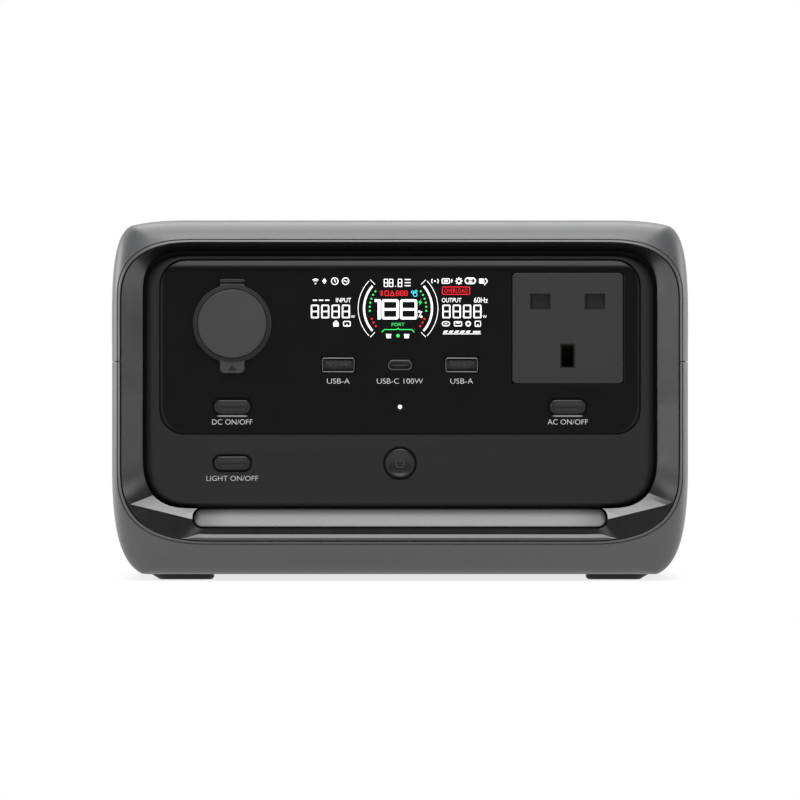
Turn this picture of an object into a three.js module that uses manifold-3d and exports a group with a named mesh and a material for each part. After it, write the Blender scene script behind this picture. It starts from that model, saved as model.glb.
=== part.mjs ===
// Portable power station: a battery, an inverter and its outlets in a two-shell housing.
// Millimetres, +Z up, front facing -Y, origin on the floor under the middle of the housing.
import * as THREE from 'three';
import { mergeVertices } from 'three/addons/utils/BufferGeometryUtils.js';
import Module from 'manifold-3d';

const wasm = await Module();
wasm.setup();

// Driving dimensions
const WIDTH = 234.4;
const HEIGHT = 146.2;
const DEPTH = 232;
const BASE_Z = 2.2; // underside of the housing, above the floor
const SEAM_Z = 88.7; // split between the two shells
const WALL = 3;
const GAP = 0.3; // clearance between neighbouring pieces
const MID_Z = (HEIGHT + BASE_Z) / 2;

// Levels behind the front edge of the housing
const RING_FRONT = 0.5;
const RING_INNER = 10.5;
const RING_BACK = 13;
const FLANGE_FRONT = 13.3;
const FLANGE_BACK = 15.8;
const FACE = 4.5; // front of the display panel
const PANEL_BACK = 6.1;
const STEP = 6.4; // carrier face behind the panel
const CARRIER_INSIDE = 8.9;
const BOARD_FRONT = 16.2;

// Front layout: X across, Z up
const SIDE_X = 68.1; // column of the two large outlets and their buttons
const OUTLET_Z = 102.3;
const OUTLET_SIZE = 45;
const SOCKET_Z = 104.1;
const SOCKET_BORE = 10.6;
const SOCKET_OUTER = 12;
const SOCKET_DEPTH = 48;
const CAP_RADIUS = 15.95;
const CAP_PIVOT_Z = 120.6;
const USB_Z = 87.3;
const STATUS_Z = 70.3; // status light, above the middle of the panel's lower edge
const USB_X = 25.05;
const PIN_PITCH = 11.1; // live and neutral, either side of the middle
const PIN_ROW = 10.7; // live and neutral above the middle
const EARTH_ROW = -11.4;
const DISPLAY_Z = 110.5;
const PANEL_BOTTOM = 59.4;
const PANEL_TOP = 130.2;
const PANEL_HALF = 97.5;

// Buttons: place, cap size and corner radius
const BUTTONS = [
  { name: 'button_dc', x: -SIDE_X, z: 70.35, w: 14.5, h: 5.7, r: 2.4, face: FACE - 0.4 },
  { name: 'button_ac', x: SIDE_X, z: 70.35, w: 14.5, h: 5.7, r: 2.4, face: FACE - 0.4 },
  { name: 'button_light', x: -SIDE_X, z: 47.5, w: 14.4, h: 5.6, r: 2.4, face: FACE - 0.4 },
  { name: 'button_power', x: 0, z: 47.4, w: 11.9, h: 11.9, r: 5.95, face: FACE - 0.4 },
];
const BUTTON_CLEARANCE = 0.7;

// Carry handle
const HANDLE_INSIDE = 103.5; // inner side of each arm
const HANDLE_FLOOR = 131.5; // underside of the folded handle
const HANDLE_PIVOT_Y = 4;
const HANDLE_PIVOT_Z = 138.5;
const HANDLE_END_RADIUS = 7;
const GRIP_FRONT = 98;
const SCOOP_HALF = 42;
const SCOOP_FRONT = 80;
const SCOOP_FLOOR = 133;
const SCOOP_ROUND = 10;

// Materials
function finish(color, roughness, metalness = 0) {
  return new THREE.MeshStandardMaterial({ color, roughness, metalness });
}
const housingPlastic = finish(0x4a4c4f, 0.55);
const ringPlastic = finish(0x2b2d30, 0.25, 0.4);
const carrierPlastic = finish(0x2f3032, 0.7);
const panelPlastic = finish(0x121315, 0.12);
const lensPlastic = finish(0x9a9a98, 0.45);
const rubber = finish(0x46484a, 0.85);
const buttonPlastic = finish(0x36383a, 0.6);
const outletPlastic = finish(0x3b3d3f, 0.6);
const innerPlastic = finish(0x1b1c1e, 0.7);
const boardGreen = finish(0x1f4a33, 0.6);
const steel = finish(0xb8babd, 0.35, 1);
const brass = finish(0xc7a357, 0.35, 1);
const aluminium = finish(0xa9acb0, 0.4, 1);
const cellWrap = finish(0x2f5f8a, 0.5);

// Solids
function solid(geometry) {
  const bare = geometry.clone();
  bare.deleteAttribute('normal');
  bare.deleteAttribute('uv');
  const merged = mergeVertices(bare, 1e-4);
  return new wasm.Manifold(new wasm.Mesh({
    numProp: 3,
    vertProperties: new Float32Array(merged.attributes.position.array),
    triVerts: new Uint32Array(merged.index.array),
  }));
}

function geometryOf(body) {
  const mesh = body.getMesh();
  const geometry = new THREE.BufferGeometry();
  geometry.setAttribute('position', new THREE.BufferAttribute(mesh.vertProperties, 3));
  geometry.setIndex(new THREE.BufferAttribute(mesh.triVerts, 1));
  geometry.computeVertexNormals();
  return geometry;
}

function piece(name, body, material) {
  const mesh = new THREE.Mesh(geometryOf(body), material);
  mesh.name = name;
  return mesh;
}

function placed(mesh, x, y, z) {
  mesh.position.set(x, y, z);
  return mesh;
}

function cutAll(body, tools) {
  return tools.reduce((rest, tool) => rest.subtract(tool), body);
}

function joinAll(bodies) {
  return bodies.reduce((sum, body) => sum.add(body));
}

// A box between two corners
function block(x0, x1, y0, y1, z0, z1) {
  const geometry = new THREE.BoxGeometry(x1 - x0, y1 - y0, z1 - z0);
  geometry.translate((x0 + x1) / 2, (y0 + y1) / 2, (z0 + z1) / 2);
  return solid(geometry);
}

// Extrusions of a flat outline: XZ outline along Y, YZ outline along X, XY outline along Z
function extrude(shape, depth, matrix, curveSegments) {
  const geometry = new THREE.ExtrudeGeometry(shape, { depth, bevelEnabled: false, curveSegments });
  geometry.applyMatrix4(matrix);
  return solid(geometry);
}

function alongY(shape, y0, y1, curveSegments = 2) {
  const matrix = new THREE.Matrix4().set(1, 0, 0, 0, 0, 0, -1, y1, 0, 1, 0, 0, 0, 0, 0, 1);
  return extrude(shape, y1 - y0, matrix, curveSegments);
}

function alongX(shape, x0, x1, curveSegments = 2) {
  const matrix = new THREE.Matrix4().set(0, 0, 1, x0, 1, 0, 0, 0, 0, 1, 0, 0, 0, 0, 0, 1);
  return extrude(shape, x1 - x0, matrix, curveSegments);
}

function alongZ(shape, z0, z1, curveSegments = 2) {
  const matrix = new THREE.Matrix4().makeTranslation(0, 0, z0);
  return extrude(shape, z1 - z0, matrix, curveSegments);
}

// Round bars along Y and X, and a turned piece about Y
function rodY(radius, y0, y1, x = 0, z = 0, sides = 24) {
  const geometry = new THREE.CylinderGeometry(radius, radius, y1 - y0, sides);
  geometry.translate(x, (y0 + y1) / 2, z);
  return solid(geometry);
}

function rodX(radius, x0, x1, y = 0, z = 0, sides = 24) {
  const geometry = new THREE.CylinderGeometry(radius, radius, x1 - x0, sides);
  geometry.rotateZ(Math.PI / 2);
  geometry.translate((x0 + x1) / 2, y, z);
  return solid(geometry);
}

function rodZ(radius, z0, z1, x = 0, y = 0, sides = 20) {
  const geometry = new THREE.CylinderGeometry(radius, radius, z1 - z0, sides);
  geometry.rotateX(Math.PI / 2);
  geometry.translate(x, y, (z0 + z1) / 2);
  return solid(geometry);
}

function turnedY(profile, sides = 40) {
  const points = profile.map(([radius, y]) => new THREE.Vector2(radius, y));
  return solid(new THREE.LatheGeometry(points, sides));
}

// Outlines
function roundedRect(halfWidth, halfHeight, radius, x = 0, z = 0) {
  const shape = new THREE.Shape();
  const left = x - halfWidth;
  const right = x + halfWidth;
  const bottom = z - halfHeight;
  const top = z + halfHeight;
  shape.moveTo(left + radius, bottom);
  shape.lineTo(right - radius, bottom);
  shape.absarc(right - radius, bottom + radius, radius, -Math.PI / 2, 0);
  shape.lineTo(right, top - radius);
  shape.absarc(right - radius, top - radius, radius, 0, Math.PI / 2);
  shape.lineTo(left + radius, top);
  shape.absarc(left + radius, top - radius, radius, Math.PI / 2, Math.PI);
  shape.lineTo(left, bottom + radius);
  shape.absarc(left + radius, bottom + radius, radius, Math.PI, Math.PI * 1.5);
  return shape;
}

// A rectangle whose corners are quarter superellipses, as points anticlockwise from the front
function softRect({ half, bottom, top, topCorner, bottomCorner, power = 2.6, steps = 6 }, inset = 0) {
  const points = [];
  const corner = (signX, signZ, edgeZ, [rx, rz], forward) => {
    for (let step = 0; step <= steps; step += 1) {
      const turn = (forward ? step : steps - step) / steps * Math.PI / 2;
      const x = half - rx + (rx - inset) * Math.cos(turn) ** (2 / power);
      const z = edgeZ + signZ * ((rz - inset) * Math.sin(turn) ** (2 / power) - rz);
      points.push(new THREE.Vector2(signX * x, z));
    }
  };
  corner(1, 1, top, topCorner, true);
  corner(-1, 1, top, topCorner, false);
  corner(-1, -1, bottom, bottomCorner, true);
  corner(1, -1, bottom, bottomCorner, false);
  return points;
}

// A closed skin through outlines of equal point count, at rising Y
function loftY(sections) {
  const count = sections[0].points.length;
  const corners = sections.flatMap(({ y, points }) => points.map((point) => [point.x, y, point.y]));
  const faces = [];
  THREE.ShapeUtils.triangulateShape(sections[0].points, []).forEach(([a, b, c]) => faces.push(a, b, c));
  for (let ring = 0; ring + 1 < sections.length; ring += 1) {
    for (let i = 0; i < count; i += 1) {
      const j = (i + 1) % count;
      const a = ring * count + i;
      const b = ring * count + j;
      faces.push(a, a + count, b + count, a, b + count, b);
    }
  }
  const last = (sections.length - 1) * count;
  THREE.ShapeUtils.triangulateShape(sections.at(-1).points, [])
    .forEach(([a, b, c]) => faces.push(last + a, last + c, last + b));
  const geometry = new THREE.BufferGeometry();
  geometry.setAttribute('position', new THREE.Float32BufferAttribute(corners.flat(), 3));
  geometry.setIndex(faces);
  return solid(geometry);
}

// The housing's outer form: its front, side and plan outlines, each run right through
function frontOutline(inset) {
  const shape = new THREE.Shape();
  const sx = (WIDTH / 2 - inset) / (WIDTH / 2);
  const halfHeight = (HEIGHT - BASE_Z) / 2;
  const sz = (halfHeight - inset) / halfHeight;
  const x = (value) => value * sx;
  const z = (value) => MID_Z + (value - MID_Z) * sz;
  const side = WIDTH / 2;
  shape.moveTo(x(-104.6), z(BASE_Z));
  shape.lineTo(x(104.6), z(BASE_Z));
  shape.bezierCurveTo(x(112), z(5.5), x(side - 0.2), z(15), x(side), z(44));
  shape.lineTo(x(side), z(SEAM_Z));
  shape.bezierCurveTo(x(side), z(115), x(side + 1.2), z(139.5), x(109.5), z(144));
  shape.quadraticCurveTo(x(100.5), z(HEIGHT), x(88), z(HEIGHT));
  shape.lineTo(x(-88), z(HEIGHT));
  shape.quadraticCurveTo(x(-100.5), z(HEIGHT), x(-109.5), z(144));
  shape.bezierCurveTo(x(-side - 1.2), z(139.5), x(-side), z(115), x(-side), z(SEAM_Z));
  shape.lineTo(x(-side), z(44));
  shape.bezierCurveTo(x(-side + 0.2), z(15), x(-112), z(5.5), x(-104.6), z(BASE_Z));
  return shape;
}

function ellipseCornerRect(half, low, high, lowCorner, highCorner) {
  const shape = new THREE.Shape();
  const [lowRun, lowRise] = lowCorner;
  const [highRun, highRise] = highCorner;
  shape.moveTo(-half + lowRun, low);
  shape.lineTo(half - lowRun, low);
  shape.absellipse(half - lowRun, low + lowRise, lowRun, lowRise, -Math.PI / 2, 0);
  shape.lineTo(half, high - highRise);
  shape.absellipse(half - highRun, high - highRise, highRun, highRise, 0, Math.PI / 2);
  shape.lineTo(-half + highRun, high);
  shape.absellipse(-half + highRun, high - highRise, highRun, highRise, Math.PI / 2, Math.PI);
  shape.lineTo(-half, low + lowRise);
  shape.absellipse(-half + lowRun, low + lowRise, lowRun, lowRise, Math.PI, Math.PI * 1.5);
  return shape;
}

function envelope(inset, curveSegments) {
  const edgeSegments = Math.ceil(curveSegments / 3);
  const front = alongY(frontOutline(inset), -DEPTH / 2, DEPTH / 2, curveSegments);
  const sideShape = ellipseCornerRect(
    DEPTH / 2 - inset, BASE_Z + inset, HEIGHT - inset, [16, 11.4], [12, 7]);
  const planShape = ellipseCornerRect(
    WIDTH / 2 - inset, -DEPTH / 2 + inset, DEPTH / 2 - inset, [3.3, 6], [3.3, 6]);
  return front
    .intersect(alongX(sideShape, -WIDTH / 2, WIDTH / 2, edgeSegments))
    .intersect(alongZ(planShape, 0, HEIGHT, edgeSegments));
}

const RIM = {
  half: 113.5, bottom: 15.6, top: 137.1, topCorner: [31.2, 24.3], bottomCorner: [38.5, 30],
};
const RING_HOLE = {
  half: 104.2, bottom: 29.2, top: 133.6, topCorner: [18, 17], bottomCorner: [19, 22],
};

// Side view of a folded arm: a straight bar with a round end about its pin
function handleArmShape() {
  const shape = new THREE.Shape();
  shape.moveTo(HANDLE_PIVOT_Y, HANDLE_FLOOR);
  shape.lineTo(DEPTH, HANDLE_FLOOR);
  shape.lineTo(DEPTH, HEIGHT + WALL * 2);
  shape.lineTo(HANDLE_PIVOT_Y, HEIGHT + WALL * 2);
  shape.lineTo(HANDLE_PIVOT_Y, HANDLE_PIVOT_Z + HANDLE_END_RADIUS);
  shape.absarc(HANDLE_PIVOT_Y, HANDLE_PIVOT_Z, HANDLE_END_RADIUS, Math.PI / 2, Math.PI * 1.5);
  return shape;
}

// The arm's bed in the housing, open above the pin so that the arm can stand upright
function handleArmBed(grow) {
  const shape = new THREE.Shape();
  const radius = HANDLE_END_RADIUS + grow;
  shape.moveTo(HANDLE_PIVOT_Y, HANDLE_FLOOR - grow);
  shape.lineTo(DEPTH, HANDLE_FLOOR - grow);
  shape.lineTo(DEPTH, HEIGHT + WALL * 2);
  shape.lineTo(HANDLE_PIVOT_Y - radius, HEIGHT + WALL * 2);
  shape.lineTo(HANDLE_PIVOT_Y - radius, HANDLE_PIVOT_Z);
  shape.absarc(HANDLE_PIVOT_Y, HANDLE_PIVOT_Z, radius, Math.PI, Math.PI * 1.5);
  return shape;
}

function handleGripShape(grow) {
  const shape = new THREE.Shape();
  shape.moveTo(GRIP_FRONT - grow, HANDLE_FLOOR - grow);
  shape.lineTo(DEPTH, HANDLE_FLOOR - grow);
  shape.lineTo(DEPTH, HEIGHT + WALL * 2);
  shape.lineTo(GRIP_FRONT - grow, HEIGHT + WALL * 2);
  return shape;
}

function fingerScoop(grow) {
  const shape = new THREE.Shape();
  const front = SCOOP_FRONT - grow;
  const floor = SCOOP_FLOOR - grow;
  shape.moveTo(GRIP_FRONT, HEIGHT + WALL * 2);
  shape.lineTo(front, HEIGHT + WALL * 2);
  shape.lineTo(front, floor + SCOOP_ROUND);
  shape.absarc(front + SCOOP_ROUND, floor + SCOOP_ROUND, SCOOP_ROUND, Math.PI, Math.PI * 1.5);
  shape.lineTo(GRIP_FRONT, floor);
  return alongX(shape, -SCOOP_HALF - grow, SCOOP_HALF + grow);
}

// Everything cut away for the folded handle
function handleSpace(grow) {
  const inside = HANDLE_INSIDE - grow;
  return joinAll([
    alongX(handleArmBed(grow), inside, WIDTH / 2 + WALL, 4),
    alongX(handleArmBed(grow), -WIDTH / 2 - WALL, -inside, 4),
    alongX(handleGripShape(grow), -inside - 1, inside + 1),
    fingerScoop(grow),
  ]);
}

// Housing
const VENT = { y: 55, z: 58, halfLength: 33, halfHeight: 22, depth: 2.6 };
const REAR = { halfWidth: 46, halfHeight: 20, z: 48, depth: 2.5 };
const SCREW_SPOTS = [[-50, -92], [50, -92], [-50, 92], [50, 92]];
const PIN_RADIUS = 2;
const PIN_HOLE = 2.3;

function housingSkin() {
  const cavity = envelope(WALL, 3).subtract(handleSpace(WALL));
  const mouth = loftY([
    { y: -DEPTH / 2 - 1, points: softRect(RIM) },
    { y: -DEPTH / 2 + WALL * 2, points: softRect(RIM) },
  ]);
  const vent = roundedRect(VENT.halfLength + GAP, VENT.halfHeight + GAP, 4 + GAP, VENT.y, VENT.z);
  const rear = roundedRect(REAR.halfWidth + GAP, REAR.halfHeight + GAP, 5 + GAP, 0, REAR.z);
  return cutAll(envelope(0, 7), [
    cavity,
    mouth,
    handleSpace(GAP),
    alongX(vent, -WIDTH / 2 - 1, WIDTH / 2 + 1),
    alongY(rear, DEPTH / 2 - WALL * 2, DEPTH / 2 + 1),
    rodX(PIN_HOLE, -HANDLE_INSIDE - 1, -HANDLE_INSIDE + WALL * 2, HANDLE_PIVOT_Y, HANDLE_PIVOT_Z),
    rodX(PIN_HOLE, HANDLE_INSIDE - WALL * 2, HANDLE_INSIDE + 1, HANDLE_PIVOT_Y, HANDLE_PIVOT_Z),
  ]);
}

function upperHousing(skin) {
  const half = block(-WIDTH, WIDTH, -DEPTH, DEPTH, SEAM_Z + GAP / 2, HEIGHT + 1);
  return piece('upper_housing', skin.intersect(half), housingPlastic);
}

function lowerHousing(skin) {
  const half = block(-WIDTH, WIDTH, -DEPTH, DEPTH, 0, SEAM_Z - GAP / 2);
  const bosses = SCREW_SPOTS.map(([x, y]) => rodZ(4.5, BASE_Z + 1, 28, x, y, 10));
  const holes = SCREW_SPOTS.flatMap(([x, y]) => [
    rodZ(1.8, 0, 24, x, y, 8),
    rodZ(3.4, 0, 5.8, x, y, 12),
  ]);
  const body = joinAll([skin.intersect(half), ...bosses]);
  return piece('lower_housing', cutAll(body, holes), housingPlastic);
}

function housingScrew(index) {
  const head = rodZ(3, 3, 5.4, 0, 0, 12).subtract(rodZ(1.3, 2, 4.4, 0, 0, 6));
  const screw = head.add(rodZ(1.5, 5, 21, 0, 0, 10));
  const [x, y] = SCREW_SPOTS[index];
  return placed(piece(`housing_screw_${index + 1}`, screw, steel), x, y, 0);
}

function foot(name, x, y) {
  const outline = new THREE.Shape();
  outline.moveTo(-12, 0);
  outline.lineTo(9.8, 0);
  outline.lineTo(12.8, BASE_Z - GAP);
  outline.lineTo(-12, BASE_Z - GAP);
  const rounded = alongZ(roundedRect(12.8, 14, 4), 0, BASE_Z);
  const pad = alongY(outline, -14, 14).intersect(rounded);
  const mesh = placed(piece(name, pad, rubber), x, y, 0);
  mesh.rotation.z = x < 0 ? Math.PI : 0;
  return mesh;
}

function ventGrille(name, x0, x1) {
  const plate = alongX(roundedRect(VENT.halfLength, VENT.halfHeight, 4, VENT.y, VENT.z), x0, x1);
  const slots = [];
  for (let slot = -5; slot <= 5; slot += 1) {
    const middle = VENT.y + slot * 5.4;
    const reach = VENT.halfHeight - 5;
    slots.push(block(x0 - 1, x1 + 1, middle - 1.5, middle + 1.5, VENT.z - reach, VENT.z + reach));
  }
  return piece(name, cutAll(plate, slots), innerPlastic);
}

// Front: Y is measured back from the housing's front edge
function frontTrimRing() {
  const outer = softRect(RIM, GAP);
  const body = loftY([{ y: RING_FRONT, points: outer }, { y: RING_BACK, points: outer }]);
  const hollow = loftY([
    { y: RING_FRONT - 0.9, points: softRect(RIM, GAP) },
    { y: RING_INNER, points: softRect(RING_HOLE) },
    { y: RING_BACK + 1, points: softRect(RING_HOLE) },
  ]);
  return piece('front_trim_ring', cutAll(body, [hollow, lightBar(GAP, 8)]), ringPlastic);
}

// The lens lies in the slope of the ring's lower side
const LENS = { half: 83.7, bottom: 21.5, top: 28.9, thick: 2.5 };

function lightBar(grow, thick) {
  const slope = (RING_INNER - RING_FRONT) / (RING_HOLE.bottom - RIM.bottom);
  const front = (z) => RING_FRONT + (z - RIM.bottom) * slope;
  const middle = (LENS.bottom + LENS.top) / 2;
  const outline = roundedRect(
    LENS.half + grow, (LENS.top - LENS.bottom) / 2 + grow, 3, 0, middle);
  const low = LENS.bottom - 1;
  const high = LENS.top + 1;
  const lead = grow > 0 ? 4 : 0.2;
  const slab = new THREE.Shape();
  slab.moveTo(front(low) - lead, low);
  slab.lineTo(front(low) - lead + thick, low);
  slab.lineTo(front(high) - lead + thick, high);
  slab.lineTo(front(high) - lead, high);
  return alongY(outline, -5, 30).intersect(alongX(slab, -WIDTH / 2, WIDTH / 2));
}

function lightBarLens() {
  return piece('light_bar_lens', lightBar(0, LENS.thick), lensPlastic);
}

function lightBarBoard() {
  const bodies = [block(-78, 78, 14, 15.4, 21, 27.5)];
  for (let led = -7; led <= 7; led += 1) {
    bodies.push(block(led * 10 - 1.5, led * 10 + 1.5, 13.3, 14.5, 23, 25.6));
  }
  return piece('light_bar_board', joinAll(bodies), boardGreen);
}

function buttonOutline(button, grow) {
  const radius = Math.min(button.r + grow, button.w / 2 + grow, button.h / 2 + grow);
  return roundedRect(button.w / 2 + grow, button.h / 2 + grow, radius, button.x, button.z);
}

function outletOutline(grow) {
  return roundedRect(OUTLET_SIZE / 2 + grow, OUTLET_SIZE / 2 + grow, 2, SIDE_X, OUTLET_Z);
}

function faceHoles(front, back) {
  return [
    ...BUTTONS.map((button) => alongY(buttonOutline(button, BUTTON_CLEARANCE), front, back)),
    rodY(SOCKET_OUTER + GAP, front, back, -SIDE_X, SOCKET_Z, 28),
    alongY(outletOutline(GAP), front, back, 1),
    alongY(roundedRect(6.9, 3.3, 0.6, -USB_X, USB_Z), front, back, 1),
    alongY(roundedRect(6.9, 3.3, 0.6, USB_X, USB_Z), front, back, 1),
    alongY(roundedRect(5.25, 2.4, 2.3, 0, USB_Z), front, back, 2),
    rodY(1.5, front, back, 0, STATUS_Z, 10),
  ];
}

function displayPanel() {
  const middle = (PANEL_TOP + PANEL_BOTTOM) / 2;
  const outline = roundedRect(PANEL_HALF, (PANEL_TOP - PANEL_BOTTOM) / 2, 11, 0, middle);
  const plate = alongY(outline, FACE, PANEL_BACK, 3);
  return piece('display_panel', cutAll(plate, faceHoles(FACE - 2, PANEL_BACK + 1)), panelPlastic);
}

function frontCarrier() {
  const face = { half: 98.5, bottom: 31.4, top: 131.2, topCorner: [15, 15], bottomCorner: [16, 16] };
  const root = { half: 103.4, bottom: 30, top: 132.8, topCorner: [17.5, 16.5], bottomCorner: [18.5, 20] };
  const island = loftY([
    { y: FACE + 0.3, points: softRect(face, 1) },
    { y: FACE + 1.3, points: softRect(face) },
    { y: RING_INNER, points: softRect(root) },
    { y: FLANGE_BACK, points: softRect(root) },
  ]);
  const flange = loftY([
    { y: FLANGE_FRONT, points: softRect(RIM, GAP * 2) },
    { y: FLANGE_BACK, points: softRect(RIM, GAP * 2) },
  ]);
  const inside = { half: 95.5, bottom: 34.2, top: 128.5, topCorner: [12, 12], bottomCorner: [13, 13] };
  const hollow = loftY([
    { y: CARRIER_INSIDE, points: softRect(inside) },
    { y: FLANGE_BACK + 1, points: softRect(inside) },
  ]);
  return piece('front_carrier', cutAll(island.add(flange), [
    hollow,
    block(-WIDTH, WIDTH, 0, STEP, PANEL_BOTTOM - GAP, HEIGHT),
    alongY(roundedRect(40.3, 15.3, 1.3, 0, DISPLAY_Z), 0, 20, 1),
    block(-79, 79, 12, 20, 20.4, 28),
    ...faceHoles(0, 20),
  ]), carrierPlastic);
}

function lcdModule() {
  const glass = alongY(roundedRect(40, 15, 1, 0, DISPLAY_Z), STEP, STEP + 3.2, 2);
  return piece('lcd_module', glass, panelPlastic);
}

function pushButton(button) {
  const local = { ...button, x: 0, z: 0 };
  const retainer = { ...local, w: button.w + 3, h: button.h + 3, r: button.r + 1.5 };
  const cap = alongY(buttonOutline(local, 0), button.face, 10.2);
  const flange = alongY(buttonOutline(retainer, 0), 9.2, 10.2, 1);
  return placed(piece(button.name, cap.add(flange), buttonPlastic), button.x, 0, button.z);
}

function tactSwitch(button) {
  const body = block(-3, 3, 12.4, BOARD_FRONT - GAP, -3, 3).add(rodY(1.7, 11.4, 13, 0, 0, 12));
  const name = button.name.replace('button', 'switch');
  return placed(piece(name, body, innerPlastic), button.x, 0, button.z);
}

function frontBoard() {
  return piece('front_board', block(-92, 92, BOARD_FRONT, BOARD_FRONT + 1.6, 36, 78), boardGreen);
}

function statusLightPipe() {
  const pipe = rodY(1.18, FACE, BOARD_FRONT - GAP, 0, 0, 14);
  return placed(piece('status_light_pipe', pipe, lensPlastic), 0, 0, STATUS_Z);
}

// Car socket and its rubber cap
function socketBarrel() {
  const back = SOCKET_DEPTH + 2;
  const tube = rodY(SOCKET_OUTER, FACE, back, 0, 0, 28);
  const bore = rodY(SOCKET_BORE, FACE - 1, SOCKET_DEPTH, 0, 0, 28);
  const contactHole = rodY(3.3, SOCKET_DEPTH - 1, back + 1, 0, 0, 16);
  return placed(piece('dc_socket_barrel', cutAll(tube, [bore, contactHole]), steel), -SIDE_X, 0, SOCKET_Z);
}

function socketContact() {
  const pin = turnedY([
    [0, 41], [1.6, 41.6], [2.4, 43], [3, 43.4], [3, 55], [0, 55],
  ], 20);
  return placed(piece('dc_socket_contact', pin, brass), -SIDE_X, 0, SOCKET_Z);
}

function socketCap() {
  const disc = turnedY([
    [0, 1], [13.2, 1], [13.95, 1.5], [14.8, 1.7], [CAP_RADIUS, 2.6],
    [CAP_RADIUS, FACE - GAP], [9.6, FACE - GAP], [9.6, 7.6], [9, 8.4], [0, 8.4],
  ], 32);
  const hingeTab = block(-5, 5, 3, FACE - GAP, 12, CAP_PIVOT_Z - GAP - SOCKET_Z);
  const pullTab = alongY(roundedRect(5, 5, 2, 0, -15.1), 2.7, FACE - GAP);
  const cap = joinAll([disc, hingeTab, pullTab]);
  return placed(piece('dc_socket_cap', cap, rubber), -SIDE_X, 0, SOCKET_Z);
}

function capAnchor() {
  const anchor = block(-5, 5, 2.8, FACE - GAP, 0, 1.3);
  return placed(piece('dc_cap_anchor', anchor, rubber), -SIDE_X, 0, CAP_PIVOT_Z + GAP);
}

// USB ports: a metal mouth with the contact tongue standing inside
function usbPort(name, x, mouth) {
  const outer = roundedRect(mouth.w / 2, mouth.h / 2, mouth.r);
  const inner = roundedRect(mouth.w / 2 - mouth.skin, mouth.h / 2 - mouth.skin, mouth.r - mouth.skin);
  const shell = alongY(outer, FACE - 0.2, mouth.back)
    .subtract(alongY(inner, FACE - 1, mouth.back - 1.4));
  const [tongueLow, tongueHigh] = mouth.tongue;
  const tongue = block(
    -mouth.tongueHalf, mouth.tongueHalf, FACE + 1, mouth.back - 1, tongueLow, tongueHigh);
  return placed(piece(name, shell.add(tongue), steel), x, 0, USB_Z);
}

const USB_A = { w: 13.2, h: 6, r: 0.8, skin: 0.5, back: 18.4, tongue: [0.2, 1.9], tongueHalf: 5.4 };
const USB_C = { w: 9.9, h: 4.2, r: 2, skin: 0.6, back: 14, tongue: [-0.45, 0.45], tongueHalf: 3.3 };

// Mains outlet: a thick face, a shutter that the earth pin lifts, and spring contacts behind it
const SHUTTER_FRONT = 9.5;
const SHUTTER_BACK = 11.7;
const OUTLET_BACK = 34;
const SHUTTER_LOW = 7.8;
const SHUTTER_HIGH = 13.4;
const SPRING_TOP = 20.6;

function pinSlots(front, back, grow) {
  return [
    alongY(roundedRect(3.5 + grow, 2.6 + grow, 0.3, -PIN_PITCH, PIN_ROW), front, back, 1),
    alongY(roundedRect(3.5 + grow, 2.6 + grow, 0.3, PIN_PITCH, PIN_ROW), front, back, 1),
    alongY(roundedRect(2.4 + grow, 4.4 + grow, 0.3, 0, EARTH_ROW), front, back, 1),
  ];
}

function outletFace() {
  const half = OUTLET_SIZE / 2;
  const plate = alongY(roundedRect(half, half, 2), FACE, SHUTTER_FRONT - GAP);
  return piece('ac_outlet_face', cutAll(plate, pinSlots(0, 20, 0)), outletPlastic);
}

function outletBody() {
  const bed = alongY(roundedRect(21.5, 21.5, 2), SHUTTER_FRONT, OUTLET_BACK, 1);
  const travel = 6;
  const pocket = [
    block(-15.8, 15.8, 0, SHUTTER_BACK + GAP, SHUTTER_LOW - GAP, SHUTTER_HIGH + travel + GAP),
    block(-2.8, 2.8, 0, SHUTTER_BACK + GAP, -6.6, SHUTTER_LOW),
    block(-2.4, 2.4, 0, SHUTTER_BACK + GAP, SHUTTER_HIGH, SPRING_TOP),
  ];
  return piece('ac_outlet_body', cutAll(bed, [
    ...pocket,
    ...pinSlots(SHUTTER_FRONT - 1, OUTLET_BACK - 2, 0.6),
  ]), innerPlastic);
}

function outletShutter() {
  const bar = block(-15.4, 15.4, SHUTTER_FRONT + 0.1, SHUTTER_BACK, SHUTTER_LOW, SHUTTER_HIGH);
  const ramp = new THREE.Shape();
  ramp.moveTo(SHUTTER_FRONT + 0.1, -4.2);
  ramp.lineTo(SHUTTER_BACK, -6.2);
  ramp.lineTo(SHUTTER_BACK, SHUTTER_LOW + 1);
  ramp.lineTo(SHUTTER_FRONT + 0.1, SHUTTER_LOW + 1);
  return piece('ac_shutter', bar.add(alongX(ramp, -2.4, 2.4)), carrierPlastic);
}

function shutterSpring() {
  const turns = 4;
  const length = SPRING_TOP - SHUTTER_HIGH - 2 * GAP - 0.5;
  const radius = 0.8;
  const points = [];
  for (let step = 0; step <= turns * 8; step += 1) {
    const angle = step / 8 * Math.PI * 2;
    const rise = SHUTTER_HIGH + GAP + 0.25 + length * step / (turns * 8);
    points.push(new THREE.Vector3(
      radius * Math.cos(angle), SHUTTER_FRONT + 1.2 + radius * Math.sin(angle), rise));
  }
  const wire = new THREE.Shape();
  wire.absarc(0, 0, 0.22, 0, Math.PI * 2);
  const geometry = new THREE.ExtrudeGeometry(wire, {
    steps: turns * 8,
    curveSegments: 2,
    bevelEnabled: false,
    extrudePath: new THREE.CatmullRomCurve3(points),
  });
  return piece('ac_shutter_spring', solid(geometry), steel);
}

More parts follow.
